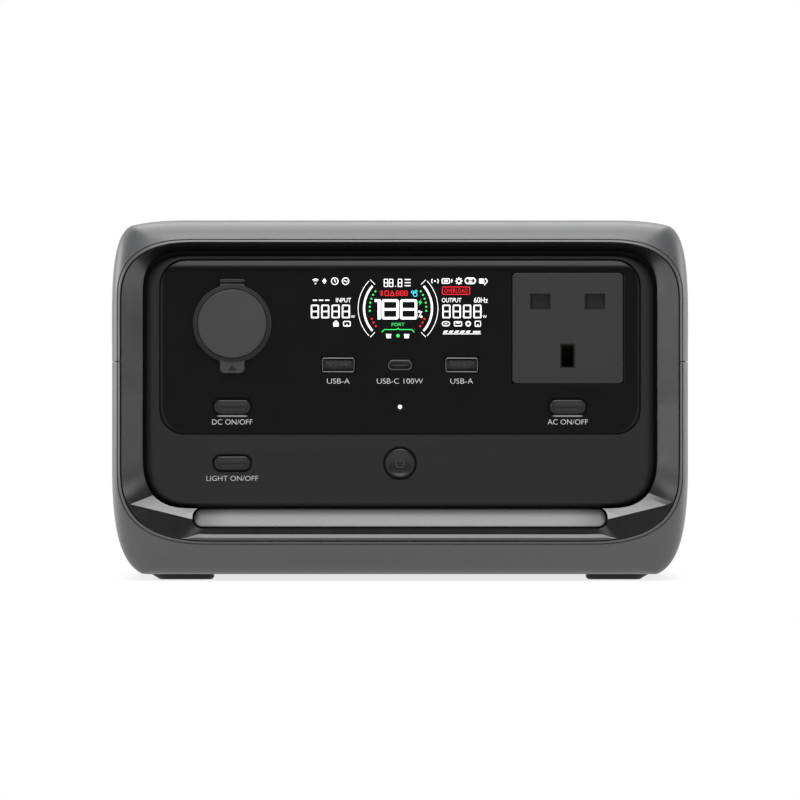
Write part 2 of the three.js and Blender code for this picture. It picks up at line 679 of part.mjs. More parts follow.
function pinContact(name, x, z, leafHalf, span) {
  const back = OUTLET_BACK - 3;
  const body = block(-leafHalf, leafHalf, 20, back, -span, span)
    .subtract(block(-leafHalf - 1, leafHalf + 1, 19, back - 1, -span + 0.7, span - 0.7));
  return placed(piece(name, body, brass), x, 0, z);
}

function mainsOutlet() {
  const outlet = new THREE.Group();
  outlet.position.set(SIDE_X, 0, OUTLET_Z);
  outlet.add(
    outletFace(),
    outletBody(),
    outletShutter(),
    shutterSpring(),
    pinContact('ac_contact_live', -PIN_PITCH, PIN_ROW, 3, 2.8),
    pinContact('ac_contact_neutral', PIN_PITCH, PIN_ROW, 3, 2.8),
    pinContact('ac_contact_earth', 0, EARTH_ROW, 2, 4.6),
  );
  return outlet;
}

// Cooling fan, on the right behind the vent; its axis runs along X
const FAN = { x0: 97, x1: 112, y: VENT.y, z: VENT.z, half: 30, bore: 28, hub: 12 };

function fanFrame() {
  const body = alongX(roundedRect(FAN.half, FAN.half, 4, FAN.y, FAN.z), FAN.x0, FAN.x1)
    .subtract(rodX(FAN.bore, FAN.x0 - 1, FAN.x1 + 1, FAN.y, FAN.z, 28));
  const struts = [rodX(FAN.hub, FAN.x0, FAN.x0 + 2, FAN.y, FAN.z, 24)];
  const reach = FAN.bore + 1;
  struts.push(block(FAN.x0, FAN.x0 + 2, FAN.y - reach, FAN.y + reach, FAN.z - 1.5, FAN.z + 1.5));
  struts.push(block(FAN.x0, FAN.x0 + 2, FAN.y - 1.5, FAN.y + 1.5, FAN.z - reach, FAN.z + reach));
  return piece('fan_frame', joinAll([body, ...struts]), innerPlastic);
}

function fanRotor() {
  const bodies = [rodX(FAN.hub, FAN.x0 + 2.5, FAN.x1 - 1, 0, 0, 28)];
  const blades = 7;
  for (let blade = 0; blade < blades; blade += 1) {
    const geometry = new THREE.BoxGeometry(1.2, 11, FAN.bore - FAN.hub + 1.5);
    geometry.rotateZ(0.7);
    geometry.translate((FAN.x0 + FAN.x1) / 2 + 0.8, 0, (FAN.bore + FAN.hub) / 2 - 1.4);
    geometry.rotateX(blade / blades * Math.PI * 2);
    bodies.push(solid(geometry));
  }
  return placed(piece('fan_rotor', joinAll(bodies), innerPlastic), 0, FAN.y, FAN.z);
}

// Rear inputs: Y is measured in from the back, as the group faces the other way
const INLET_X = -18;
const DC_X = 24;

function rearPlate() {
  const plate = alongY(roundedRect(REAR.halfWidth, REAR.halfHeight, 5), GAP, GAP + REAR.depth);
  return piece('rear_port_plate', cutAll(plate, [
    alongY(roundedRect(14.3, 10.6, 2.3, INLET_X, 0), 0, 9, 1),
    rodY(8.3, 0, 9, DC_X, 0, 20),
  ]), innerPlastic);
}

function mainsInlet() {
  const body = alongY(roundedRect(14, 10.3, 2), GAP, 22, 1)
    .subtract(alongY(roundedRect(12, 8.2, 3), -1, 19, 1));
  const pins = [[-7, 2], [7, 2], [0, -2]].map(([x, z]) => block(x - 1, x + 1, 7, 20, z - 2, z + 2));
  return placed(piece('ac_inlet', joinAll([body, ...pins]), innerPlastic), INLET_X, 0, 0);
}

function dcInlet() {
  const body = turnedY([
    [0, 13], [4.2, 13], [4.2, GAP], [8, GAP], [8, 15], [0, 15],
  ], 20);
  const pin = rodY(0.7, 3, 14, 0, 0, 8);
  return placed(piece('dc_inlet', body.add(pin), steel), DC_X, 0, 0);
}

function rearInputs() {
  const rear = new THREE.Group();
  rear.position.set(0, DEPTH / 2, REAR.z);
  rear.rotation.z = Math.PI;
  rear.add(rearPlate(), mainsInlet(), dcInlet());
  return rear;
}

// Battery and electronics
const CELL = { radius: 13, length: 65, pitch: 26.6, floor: 8 };

function batteryBank(name, side) {
  const holder = (z0) => alongZ(roundedRect(CELL.pitch * 1.5 + 0.6, CELL.pitch * 2 + 0.6, 12), z0, z0 + 5);
  const bodies = [holder(CELL.floor), holder(CELL.floor + CELL.length - 5)];
  for (let column = -1; column <= 1; column += 1) {
    for (let row = -1.5; row <= 1.5; row += 1) {
      const x = column * CELL.pitch;
      const y = row * CELL.pitch;
      bodies.push(rodZ(CELL.radius, CELL.floor + 1, CELL.floor + CELL.length - 1, x, y, 12));
    }
  }
  return placed(piece(name, joinAll(bodies), cellWrap), side * 43, -26, 0);
}

function batteryBoard() {
  const parts = [block(-70, 70, -70, 20, 75, 76.6)];
  for (let chip = -3; chip <= 3; chip += 1) {
    parts.push(block(chip * 18 - 5, chip * 18 + 5, -8, 2, 76, 79));
  }
  return piece('battery_board', joinAll(parts), boardGreen);
}

function mainBoard() {
  const parts = [block(-90, 90, -50, 90, 93, 94.6)];
  for (let can = 0; can < 4; can += 1) {
    parts.push(rodZ(6.5, 94, 116, 68, -35 + can * 18, 12));
    parts.push(rodZ(5, 94, 110, -76, -35 + can * 14, 10));
  }
  return piece('inverter_board', joinAll(parts), boardGreen);
}

function heatsink() {
  const parts = [block(-60, -6, 5, 75, 94.9, 99)];
  for (let fin = 0; fin < 9; fin += 1) {
    parts.push(block(-59.5 + fin * 6.5, -58 + fin * 6.5, 5, 75, 98, 118));
  }
  return piece('heatsink', joinAll(parts), aluminium);
}

function transformer() {
  const core = block(4, 44, 14, 48, 94.9, 122).subtract(block(10, 38, 13, 49, 101, 116));
  const windings = alongZ(roundedRect(12, 15, 4, 24, 31), 99, 118);
  return piece('transformer', core.add(windings), cellWrap);
}

// Carry handle: two arms and the grip between them, flush with the housing when folded
function handleArm(name, x0, x1, skin) {
  const arm = alongX(handleArmShape(), x0, x1, 4).intersect(skin);
  const bore = rodX(PIN_HOLE, -HANDLE_INSIDE - 7, HANDLE_INSIDE + 7, HANDLE_PIVOT_Y, HANDLE_PIVOT_Z);
  return piece(name, arm.subtract(bore), housingPlastic);
}

function handleGrip(skin) {
  const half = HANDLE_INSIDE - GAP;
  return piece('handle_grip', alongX(handleGripShape(0), -half, half).intersect(skin), rubber);
}

function handlePin(name, x0) {
  const pin = rodX(PIN_RADIUS, x0, x0 + 11, 0, 0, 20);
  return placed(piece(name, pin, steel), 0, HANDLE_PIVOT_Y, HANDLE_PIVOT_Z);
}

// Assembly
const station = new THREE.Group();
const skin = housingSkin();
station.add(upperHousing(skin), lowerHousing(skin));

const front = new THREE.Group();
front.position.y = -DEPTH / 2;
front.add(
  frontTrimRing(),
  lightBarLens(),
  lightBarBoard(),
  frontCarrier(),
  displayPanel(),
  lcdModule(),
  frontBoard(),
  statusLightPipe(),
  socketBarrel(),
  socketContact(),
  socketCap(),
  capAnchor(),
  usbPort('usb_a_port_left', -USB_X, USB_A),
  usbPort('usb_a_port_right', USB_X, USB_A),
  usbPort('usb_c_port', 0, USB_C),
  mainsOutlet(),
);
BUTTONS.forEach((button) => front.add(pushButton(button), tactSwitch(button)));
station.add(front);

const outerForm = envelope(0, 7);
const handle = new THREE.Group();
handle.add(
  handleArm('handle_arm_left', -WIDTH / 2 - WALL, -HANDLE_INSIDE, outerForm),
  handleArm('handle_arm_right', HANDLE_INSIDE, WIDTH / 2 + WALL, outerForm),
  handleGrip(outerForm),
);
station.add(
  handle,
  handlePin('handle_pin_left', -HANDLE_INSIDE - 6),
  handlePin('handle_pin_right', HANDLE_INSIDE - 5),
);

const inset = WIDTH / 2 - GAP;
station.add(
  ventGrille('vent_grille_left', -inset, -inset + VENT.depth),
  ventGrille('vent_grille_right', inset - VENT.depth, inset),
  fanFrame(),
  fanRotor(),
  rearInputs(),
  batteryBank('battery_bank_left', -1),
  batteryBank('battery_bank_right', 1),
  batteryBoard(),
  mainBoard(),
  heatsink(),
  transformer(),
);

const FOOT_X = 88.2;
const FOOT_Y = 84;
[['front', -1], ['rear', 1]].forEach(([end, signY]) => {
  station.add(foot(`foot_${end}_left`, -FOOT_X, signY * FOOT_Y));
  station.add(foot(`foot_${end}_right`, FOOT_X, signY * FOOT_Y));
});
SCREW_SPOTS.forEach((spot, index) => station.add(housingScrew(index)));

export default station;
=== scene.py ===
import math

import bmesh
import bpy
import numpy as np
from mathutils import Matrix, Vector


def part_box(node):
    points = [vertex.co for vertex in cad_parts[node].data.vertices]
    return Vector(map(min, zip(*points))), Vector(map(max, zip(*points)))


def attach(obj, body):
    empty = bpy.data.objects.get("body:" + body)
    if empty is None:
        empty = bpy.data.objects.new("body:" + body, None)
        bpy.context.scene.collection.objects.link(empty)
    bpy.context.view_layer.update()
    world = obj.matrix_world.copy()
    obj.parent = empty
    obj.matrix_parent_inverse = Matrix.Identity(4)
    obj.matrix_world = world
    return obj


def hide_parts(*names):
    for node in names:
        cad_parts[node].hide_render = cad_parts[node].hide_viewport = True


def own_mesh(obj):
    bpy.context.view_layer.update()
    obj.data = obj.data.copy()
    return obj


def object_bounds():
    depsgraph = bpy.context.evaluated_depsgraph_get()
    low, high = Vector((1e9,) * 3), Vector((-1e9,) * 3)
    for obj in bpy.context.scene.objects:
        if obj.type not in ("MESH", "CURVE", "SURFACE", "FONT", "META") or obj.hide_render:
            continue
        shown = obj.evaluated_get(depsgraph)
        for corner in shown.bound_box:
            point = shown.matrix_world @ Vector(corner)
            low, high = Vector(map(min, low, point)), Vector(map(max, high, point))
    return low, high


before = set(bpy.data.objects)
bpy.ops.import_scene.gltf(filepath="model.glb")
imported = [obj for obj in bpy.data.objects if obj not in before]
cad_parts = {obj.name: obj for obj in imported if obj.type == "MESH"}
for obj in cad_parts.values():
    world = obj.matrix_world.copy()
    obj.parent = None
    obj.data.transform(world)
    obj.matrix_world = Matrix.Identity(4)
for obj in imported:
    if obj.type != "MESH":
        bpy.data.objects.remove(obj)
cad_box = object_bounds()
bpy.context.scene.view_settings.view_transform = "Standard"

# Sizes are in millimetres and become metres where a mesh is made.
MM = 0.001
FRONT = cad_box[0].y  # the housing's front edge
REAR = cad_box[1].y
WIDTH = (cad_box[1].x - cad_box[0].x) / MM
HEIGHT = cad_box[1].z / MM
BASE_Z = 2.2
SEAM_Z = (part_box("upper_housing")[0].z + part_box("lower_housing")[1].z) / 2 / MM
MID_Z = (HEIGHT + BASE_Z) / 2
DEPTH = (REAR - FRONT) / MM
WALL = 3
GAP = 0.3
COLUMNS = 320  # points round the housing


def box_mm(node):
    """A CAD node's box in millimetres, with Y measured back from the front edge."""
    lo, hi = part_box(node)
    shift = Vector((0, FRONT, 0))
    return (lo - shift) / MM, (hi - shift) / MM


def span_mm(node):
    """A CAD node's low corner, high corner and middle in millimetres."""
    lo, hi = box_mm(node)
    return lo, hi, (lo + hi) / 2


def middle_mm(node):
    return span_mm(node)[2]


# ---------------------------------------------------------------- materials

def material(name, base, roughness=0.5, metallic=0.0, specular=0.5):
    """A Principled material and the handles its detail is wired to."""
    mat = bpy.data.materials.new(name)
    mat.use_nodes = True
    shader = mat.node_tree.nodes["Principled BSDF"]
    shader.inputs["Base Color"].default_value = (*base, 1)
    shader.inputs["Roughness"].default_value = roughness
    shader.inputs["Metallic"].default_value = metallic
    shader.inputs["Specular IOR Level"].default_value = specular
    return mat, mat.node_tree, shader


def noise(tree, scale, detail=4.0, stretch=(1, 1, 1)):
    coords = tree.nodes.new("ShaderNodeTexCoord")
    mapping = tree.nodes.new("ShaderNodeMapping")
    mapping.inputs["Scale"].default_value = stretch
    texture = tree.nodes.new("ShaderNodeTexNoise")
    texture.inputs["Scale"].default_value = scale
    texture.inputs["Detail"].default_value = detail
    tree.links.new(coords.outputs["Object"], mapping.inputs["Vector"])
    tree.links.new(mapping.outputs["Vector"], texture.inputs["Vector"])
    return texture.outputs["Fac"]


def remap(tree, value, low=0.0, high=1.0, source=(0.0, 1.0), soft=False):
    """Maps the source range of a value onto low to high, clamped."""
    node = tree.nodes.new("ShaderNodeMapRange")
    node.interpolation_type = "SMOOTHSTEP" if soft else "LINEAR"
    for key, number in zip(("From Min", "From Max", "To Min", "To Max"), (*source, low, high)):
        node.inputs[key].default_value = number
    tree.links.new(value, node.inputs["Value"])
    return node.outputs["Result"]


def maths(tree, operation, *values):
    node = tree.nodes.new("ShaderNodeMath")
    node.operation = operation
    for slot, value in enumerate(values):
        tree.links.new(value, node.inputs[slot])
    return node.outputs["Value"]


def split_axes(tree, coordinates):
    """The X, Y and Z of one kind of texture coordinate."""
    coords = tree.nodes.new("ShaderNodeTexCoord")
    split = tree.nodes.new("ShaderNodeSeparateXYZ")
    tree.links.new(coords.outputs[coordinates], split.inputs["Vector"])
    return split.outputs


def scaled(tone, factor):
    return [min(1, c * factor) for c in tone]


def vary_roughness(tree, shader, value, low, high):
    tree.links.new(remap(tree, value, low, high), shader.inputs["Roughness"])


def mix_tone(tree, shader, value, light):
    """A mix towards the light tone, wired to the base colour; its A is left to the caller."""
    mix = tree.nodes.new("ShaderNodeMix")
    mix.data_type = "RGBA"
    mix.inputs["B"].default_value = (*light, 1)
    tree.links.new(value, mix.inputs["Factor"])
    tree.links.new(mix.outputs["Result"], shader.inputs["Base Color"])
    return mix


def vary_colour(tree, shader, value, dark, light):
    mix = mix_tone(tree, shader, value, light)
    mix.inputs["A"].default_value = (*dark, 1)
    return mix


def bump(tree, shader, value, strength, distance):
    node = tree.nodes.new("ShaderNodeBump")
    node.inputs["Strength"].default_value = strength
    node.inputs["Distance"].default_value = distance
    tree.links.new(value, node.inputs["Height"])
    tree.links.new(node.outputs["Normal"], shader.inputs["Normal"])


CONVEX = (0.53, 0.62)  # pointiness of an edge from barely worn to fully worn


def wear_edges(tree, shader, mix, amount, tone):
    """Lightens the colour on sharp convex edges, where handling polishes plastic."""
    geometry = tree.nodes.new("ShaderNodeNewGeometry")
    edge = remap(tree, geometry.outputs["Pointiness"], 0, amount, CONVEX)
    worn = mix_tone(tree, shader, edge, tone)
    tree.links.new(mix.outputs["Result"], worn.inputs["A"])


def moulded_plastic(name, tone, rough, grain=2600, grain_depth=0.00002, specular=0.5, wear=0.15):
    """Satin moulded plastic: spark-eroded grain, slow tone drift and polished edges."""
    mat, tree, shader = material(name, tone, specular=specular)
    drift = noise(tree, 9, 3)
    mix = vary_colour(tree, shader, drift, scaled(tone, 0.93), scaled(tone, 1.07))
    wear_edges(tree, shader, mix, wear, scaled(tone, 1.6))
    vary_roughness(tree, shader, noise(tree, 60, 4), rough - 0.04, rough + 0.04)
    bump(tree, shader, noise(tree, grain, 2), 0.12, grain_depth)
    return mat


def polished_plastic(name, tone, rough, specular=0.3):
    """Polished plastic: faint haze and the slight ripple of a moulded gloss face."""
    mat, tree, shader = material(name, tone, specular=specular)
    drift = noise(tree, 14, 3)
    vary_colour(tree, shader, drift, scaled(tone, 0.9), scaled(tone, 1.1))
    vary_roughness(tree, shader, noise(tree, 90, 5), rough * 0.8, rough * 1.25)
    bump(tree, shader, noise(tree, 34, 1), 0.02, 0.00008)
    return mat


PAINTED_SHADE_SPAN = (0.068, 0.083)  # distance from the middle, in metres, over which painted shade darkens the lens


def frosted_lens(name, tone):
    """Frosted diffuser: fine tooth, and painted shade darkening it past the ends of the light strip
    behind it.
    """
    mat, tree, shader = material(name, tone, specular=0.5)
    away = maths(tree, "ABSOLUTE", split_axes(tree, "Object")["X"])
    # Painted shade: the base colour falls to half its tone towards the lens's ends.
    ends = remap(tree, away, source=PAINTED_SHADE_SPAN, soft=True)
    vary_colour(tree, shader, ends, tone, scaled(tone, 0.5))
    vary_roughness(tree, shader, noise(tree, 80, 4), 0.36, 0.46)
    bump(tree, shader, noise(tree, 1800, 2), 0.12, 0.00002)
    return mat


def soft_rubber(name, tone, rough=0.75):
    """Silicone rubber: dusty tone and a fine matte tooth."""
    mat, tree, shader = material(name, tone, specular=0.35)
    mix = vary_colour(tree, shader, noise(tree, 40, 5), scaled(tone, 0.9), scaled(tone, 1.12))
    wear_edges(tree, shader, mix, 0.12, scaled(tone, 1.5))
    vary_roughness(tree, shader, noise(tree, 120, 3), rough - 0.08, rough + 0.08)
    bump(tree, shader, noise(tree, 4200, 3), 0.2, 0.00003)
    return mat


def brushed_metal(name, tone, rough, stretch=(1, 1, 40)):
    """Metal with drawn lines along one axis and a little oxide tint."""
    mat, tree, shader = material(name, tone, metallic=1.0)
    vary_colour(tree, shader, noise(tree, 25, 4), scaled(tone, 0.85), tone)
    lines = noise(tree, 500, 3, stretch)
    vary_roughness(tree, shader, lines, rough * 0.8, rough * 1.3)
    bump(tree, shader, lines, 0.1, 0.00002)
    return mat


def lit_mark(name, tone, strength):
    """A display segment: it glows a little unevenly, as a backlight does."""
    mat, tree, shader = material(name, tone, 0.4, specular=0.2)
    shader.inputs["Emission Color"].default_value = (*tone, 1)
    glow = remap(tree, noise(tree, 160, 2), strength * 0.88, strength * 1.08)
    tree.links.new(glow, shader.inputs["Emission Strength"])
    return mat


def printed_ink(name, tone):
    """Pad-printed lettering with slightly uneven cover."""
    mat, tree, shader = material(name, tone, 0.55, specular=0.3)
    vary_colour(tree, shader, noise(tree, 1500, 4), scaled(tone, 0.85), tone)
    return mat


HOUSING = moulded_plastic("housing_plastic", (0.062, 0.063, 0.065), 0.34, specular=0.6)
TRIM = polished_plastic("trim_black", (0.002, 0.002, 0.0021), 0.24, specular=1.0)
CARRIER = moulded_plastic("carrier_plastic", (0.0132, 0.0132, 0.0135), 0.5, specular=0.22)
PANEL = polished_plastic("panel_gloss", (0.0038, 0.0038, 0.0042), 0.2, specular=0.2)
LENS = frosted_lens("lens_frosted", (0.2, 0.2, 0.197))
RUBBER = soft_rubber("cap_rubber", (0.036, 0.036, 0.0365))
RIM_RUBBER = soft_rubber("cap_rim_rubber", (0.0105, 0.0105, 0.0108))
FOOT_RUBBER = soft_rubber("foot_rubber", (0.022, 0.022, 0.023), 0.7)
GRIP_RUBBER = soft_rubber("grip_rubber", (0.035, 0.035, 0.037), 0.7)
BUTTON = moulded_plastic("button_plastic", (0.008, 0.008, 0.0083), 0.34, specular=0.42, wear=0.1)
OUTLET = moulded_plastic("outlet_plastic", (0.0222, 0.0222, 0.0228), 0.5, specular=0.3)
SHUTTER = moulded_plastic("shutter_plastic", (0.03, 0.03, 0.03), 0.6)
INNER = moulded_plastic("inner_plastic", (0.012, 0.012, 0.013), 0.6)
STEEL = brushed_metal("steel", (0.62, 0.63, 0.65), 0.28)
BRASS = brushed_metal("brass", (0.72, 0.53, 0.24), 0.3)
# Brass darkened with painted shade, standing in for the shade deep in the earth slot.
EARTH_BRASS_PAINTED_SHADE = brushed_metal("brass_painted_shade", (0.05, 0.04, 0.024), 0.5)
ALUMINIUM = brushed_metal("aluminium", (0.66, 0.67, 0.69), 0.35, (1, 40, 1))
BOARD = moulded_plastic("board_green", (0.016, 0.07, 0.035), 0.4)
WRAP = polished_plastic("cell_wrap", (0.03, 0.1, 0.22), 0.3)
INK = printed_ink("label_ink", (0.62, 0.62, 0.62))
CARRIER_INK = printed_ink("carrier_ink", (0.5, 0.5, 0.5))
SIGN = printed_ink("power_sign", (0.055, 0.055, 0.057))
VENT = moulded_plastic("vent_plastic", (0.028, 0.028, 0.03), 0.5)
# Nickel darkened with painted shade, standing in for the shade inside the USB mouths; the status pipe
# uses it too.
NICKEL_PAINTED_SHADE = brushed_metal("nickel_painted_shade", (0.17, 0.17, 0.175), 0.32)
INDICATOR = printed_ink("indicator", (0.20, 0.20, 0.20))
WHITE = lit_mark("mark_white", (0.80, 0.81, 0.81), 0.78)
GREEN = lit_mark("mark_green", (0.03, 0.55, 0.11), 0.8)
RED = lit_mark("mark_red", (0.62, 0.012, 0.02), 0.75)
CYAN = lit_mark("mark_cyan", (0.05, 0.55, 0.68), 0.8)
LED = lit_mark("led_white", (0.95, 0.96, 1.0), 1.2)

CAD_FINISHES = {
    INNER: ["ac_outlet_body", "switch_dc", "switch_ac", "switch_light", "switch_power",
            "fan_frame", "fan_rotor"],
    BOARD: ["light_bar_board", "front_board", "battery_board", "inverter_board"],
    STEEL: ["ac_shutter_spring", "handle_pin_left", "handle_pin_right"],
    BRASS: ["dc_socket_contact", "ac_contact_live", "ac_contact_neutral"],
    EARTH_BRASS_PAINTED_SHADE: ["ac_contact_earth"],
    ALUMINIUM: ["heatsink"],
    WRAP: ["battery_bank_left", "battery_bank_right", "transformer"],
    SHUTTER: ["ac_shutter"],
    PANEL: ["lcd_module"],
}
for finish, names in CAD_FINISHES.items():
    for node_name in names:
        node_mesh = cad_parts[node_name].data
        node_mesh.materials.clear()
        node_mesh.materials.append(finish)


# ---------------------------------------------------------------- mesh tools

def to_world(points):
    """Points in millimetres, Y behind the front edge, to metres in the row frame."""
    return [(x * MM, FRONT + y * MM, z * MM) for x, y, z in points]


def make(name, points, faces, finish, smooth=35):
    """A mesh object from millimetre points, smooth but creased above an angle in degrees."""
    mesh = bpy.data.meshes.new(name)
    mesh.from_pydata(to_world(points), [], faces)
    mesh.materials.append(finish)
    obj = bpy.data.objects.new(name, mesh)
    bpy.context.scene.collection.objects.link(obj)
    tidy(obj, smooth)
    return obj


def tidy(obj, smooth=35):
    """Merges doubles, points faces outward and creases the sharp edges."""
    bm = bmesh.new()
    bm.from_mesh(obj.data)
    bmesh.ops.remove_doubles(bm, verts=bm.verts, dist=0.000002)
    bmesh.ops.dissolve_degenerate(bm, edges=bm.edges, dist=0.000002)
    bmesh.ops.recalc_face_normals(bm, faces=bm.faces)
    limit = math.radians(smooth)
    for face in bm.faces:
        face.smooth = True
    for edge in bm.edges:
        edge.smooth = edge.is_manifold and edge.calc_face_angle(0) < limit
    bm.to_mesh(obj.data)
    bm.free()


def applied(obj):
    """Replaces the object's mesh with its modified one and clears the modifiers."""
    depsgraph = bpy.context.evaluated_depsgraph_get()
    depsgraph.update()
    mesh = bpy.data.meshes.new_from_object(obj.evaluated_get(depsgraph))
    old = obj.data
    obj.modifiers.clear()
    obj.data = mesh
    bpy.data.meshes.remove(old)


def boolean(obj, tools, operation="DIFFERENCE", bevel=0.0, smooth=35):
    """Cuts or joins with tool objects, which are used up, then rounds the new edges."""
    for tool in tools:
        step = obj.modifiers.new("cut", "BOOLEAN")
        step.operation = operation
        step.object = tool
        step.solver = "EXACT"
    applied(obj)
    for tool in tools:
        bpy.data.objects.remove(tool)
    if bevel:
        round_edges(obj, bevel)
    tidy(obj, smooth)


def round_edges(obj, width, segments=2, angle=32):
    tidy(obj)
    step = obj.modifiers.new("edge", "BEVEL")
    step.width = width * MM
    step.segments = segments
    step.limit_method = "ANGLE"
    step.angle_limit = math.radians(angle)
    step.use_clamp_overlap = True
    step.miter_outer = "MITER_ARC"
    applied(obj)


def copy_of(obj, name):
    twin = obj.copy()
    twin.data = obj.data.copy()
    twin.name = name
    bpy.context.scene.collection.objects.link(twin)
    return twin


def settle(obj, body, *nodes, slot=None, finish=None):
    """Rides the finished piece on its body and hides the CAD nodes that it stands for."""
    flat = obj.modifiers.new("flat", "WEIGHTED_NORMAL")
    flat.keep_sharp = True
    flat.weight = 90
    applied(obj)
    if finish:
        obj.data.materials.clear()
        obj.data.materials.append(finish)
    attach(obj, body)
    if nodes:
        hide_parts(*nodes)
    return obj


def loft(name, rings, finish, smooth=35, hoop=False):
    """A skin through rings of equally many points, capped at both ends or joined as a hoop."""
    count, total = len(rings[0]), len(rings)
    points = [tuple(p) for ring in rings for p in ring]
    faces = []
    for r in range(total if hoop else total - 1):
        s = (r + 1) % total
        for i in range(count):
            j = (i + 1) % count
            faces.append((r * count + i, r * count + j, s * count + j, s * count + i))
    if not hoop:
        faces += [tuple(range(count)), tuple(range((total - 1) * count, total * count))]
    return make(name, points, faces, finish, smooth)


def prism(name, outline, y0, y1, finish=None):
    """A front-view outline run from depth y0 to y1."""
    rings = [[(x, y, z) for x, z in outline] for y in (y0, y1)]
    return loft(name, rings, finish or INNER)


def prism_x(name, outline, x0, x1, finish=None):
    """A side-view outline, as (depth, z), run from x0 to x1."""
    rings = [[(x, y, z) for y, z in outline] for x in (x0, x1)]
    return loft(name, rings, finish or INNER)


def cuboid(name, x0, x1, y0, y1, z0, z1, finish=None):
    return prism(name, [(x0, z0), (x1, z0), (x1, z1), (x0, z1)], y0, y1, finish)


def rounded(half_w, half_h, radius, x=0.0, z=0.0, steps=8):
    """A rounded rectangle, anticlockwise from the front."""
    outline = []
    for quarter, (sx, sz) in enumerate([(1, 1), (-1, 1), (-1, -1), (1, -1)]):
        for step in range(steps + 1):
            turn = (quarter + step / steps) * math.pi / 2
            outline.append((x + sx * (half_w - radius) + radius * math.cos(turn),
                            z + sz * (half_h - radius) + radius * math.sin(turn)))
    return outline


def circle(radius, x=0.0, z=0.0, steps=64):
    return [(x + radius * math.cos(2 * math.pi * i / steps),
             z + radius * math.sin(2 * math.pi * i / steps)) for i in range(steps)]


def grown(outline_of, profile):
    """Rings for a loft from (inset, depth) pairs and a function giving the inset outline."""
    return [[(x, depth, z) for x, z in outline_of(inset)] for inset, depth in profile]


def rolled_edge(back, front, reach, rise, steps):
    """Inset and depth pairs: the side wall from the back, then a quarter round to the front."""
    pairs = [(0, back), (0, front + rise)]
    for step in range(1, steps + 1):
        turn = math.pi / 2 * step / steps
        pairs.append((reach * (1 - math.cos(turn)), front + rise * (1 - math.sin(turn))))
    return pairs


# ---------------------------------------------------------------- outlines

def bezier(points, steps):
    """Points along a Bezier curve of any degree, without its last point."""
    degree = len(points) - 1
    curve = []
    for step in range(steps):
        t = step / steps
        weights = [math.comb(degree, k) * t ** k * (1 - t) ** (degree - k) for k in range(degree + 1)]
        curve.append(tuple(sum(w * p[axis] for w, p in zip(weights, points)) for axis in (0, 1)))
    return curve


def housing_outline():
    """The housing from the front: flat top and base, crowned shoulders, long side arcs."""
    side = WIDTH / 2
    right = bezier([(104.6, BASE_Z), (112, 5.5), (side - 0.2, 15), (side, 44)], 24)
    right += bezier([(side, 44), (side, SEAM_Z)], 6)
    right += bezier([(side, SEAM_Z), (side, 115), (side + 1.2, 139.5), (109.5, 144)], 24)
    right += bezier([(109.5, 144), (100.5, HEIGHT), (88, HEIGHT)], 10) + [(88, HEIGHT)]
    return right + [(-x, z) for x, z in reversed(right)]


def soft_rect(half, bottom, top, top_corner, bottom_corner, inset=0.0, power=2.6, steps=20):
    """A rectangle with superellipse corners, anticlockwise from the front."""
    outline = []
    corners = [(1, 1, top_corner, True), (-1, 1, top_corner, False),
               (-1, -1, bottom_corner, True), (1, -1, bottom_corner, False)]
    for sx, sz, (rx, rz), rising in corners:
        edge = top if sz > 0 else bottom
        for step in range(steps + 1):
            turn = (step if rising else steps - step) / steps * math.pi / 2
            x = half - rx + (rx - inset) * math.cos(turn) ** (2 / power)
            z = edge + sz * ((rz - inset) * math.sin(turn) ** (2 / power) - rz)
            outline.append((sx * x, z))
    return outline


def bearing(points):
    array = np.array(points)
    return np.unwrap(np.arctan2(array[:, 1] - MID_Z, array[:, 0]))


def matched(outline, angles):
    """The outline's points at the given bearings round the middle, so outlines can be lofted."""
    array = np.array(outline)
    start = bearing(outline)
    start = np.concatenate([start - 2 * math.pi, start, start + 2 * math.pi])
    array = np.concatenate([array, array, array])
    order = np.argsort(start)
    return np.column_stack([np.interp(angles, start[order], array[order, k]) for k in (0, 1)])


def even_bearings(outline, count):
    """Bearings of points spaced evenly along an outline."""
    array = np.array(outline + outline[:1])
    steps = np.hypot(*np.diff(array, axis=0).T)
    along = np.concatenate([[0], np.cumsum(steps)])
    spots = np.linspace(0, along[-1], count, endpoint=False)
    even = np.column_stack([np.interp(spots, along, array[:, k]) for k in (0, 1)])
    return np.mod(bearing(even), 2 * math.pi)


RIM = dict(half=113.5, bottom=15.6, top=137.1, top_corner=(31.2, 24.3), bottom_corner=(38.5, 30))
RING_HOLE = dict(half=104.2, bottom=29.2, top=133.6, top_corner=(18, 17), bottom_corner=(19, 22))
ANGLES = np.sort(even_bearings(soft_rect(**RIM), COLUMNS))
OUTLINE = matched(housing_outline(), ANGLES)
RIM_LINE = matched(soft_rect(**RIM), ANGLES)


def ring_points(line, depth):
    return [(x, depth, z) for x, z in line]


# ---------------------------------------------------------------- housing

EDGE_DEPTH = 13  # how far back the rounded front and rear edges run
EDGE_START = math.radians(20)  # the round stops short of facing straight ahead
# Raised lip round the opening and the groove outside it: distance out from the rim, depth
LIP = [(0, 0.6), (0.06, 0.15), (0.2, 0.0), (0.45, 0.09), (0.75, 0.36), (1.0, 0.66), (1.1, 0.84),
       (1.14, 1.35), (1.36, 1.35), (1.4, 0.85), (1.5, 0.8)]


def edge_sections(line_in, line_out, facing_front, steps=14):
    """Rings of the rounded edge between the rim and the full outline."""
    rings = []
    low = math.sin(EDGE_START)
    span = math.cos(EDGE_START)
    for step in range(steps + 1):
        turn = EDGE_START + (math.pi / 2 - EDGE_START) * step / steps
        share = (math.sin(turn) - low) / (1 - low)
        depth = EDGE_DEPTH * (span - math.cos(turn)) / span
        line = line_in + (line_out - line_in) * share
        rings.append(ring_points(line, depth if facing_front else DEPTH - depth))
    return rings if facing_front else rings[::-1]


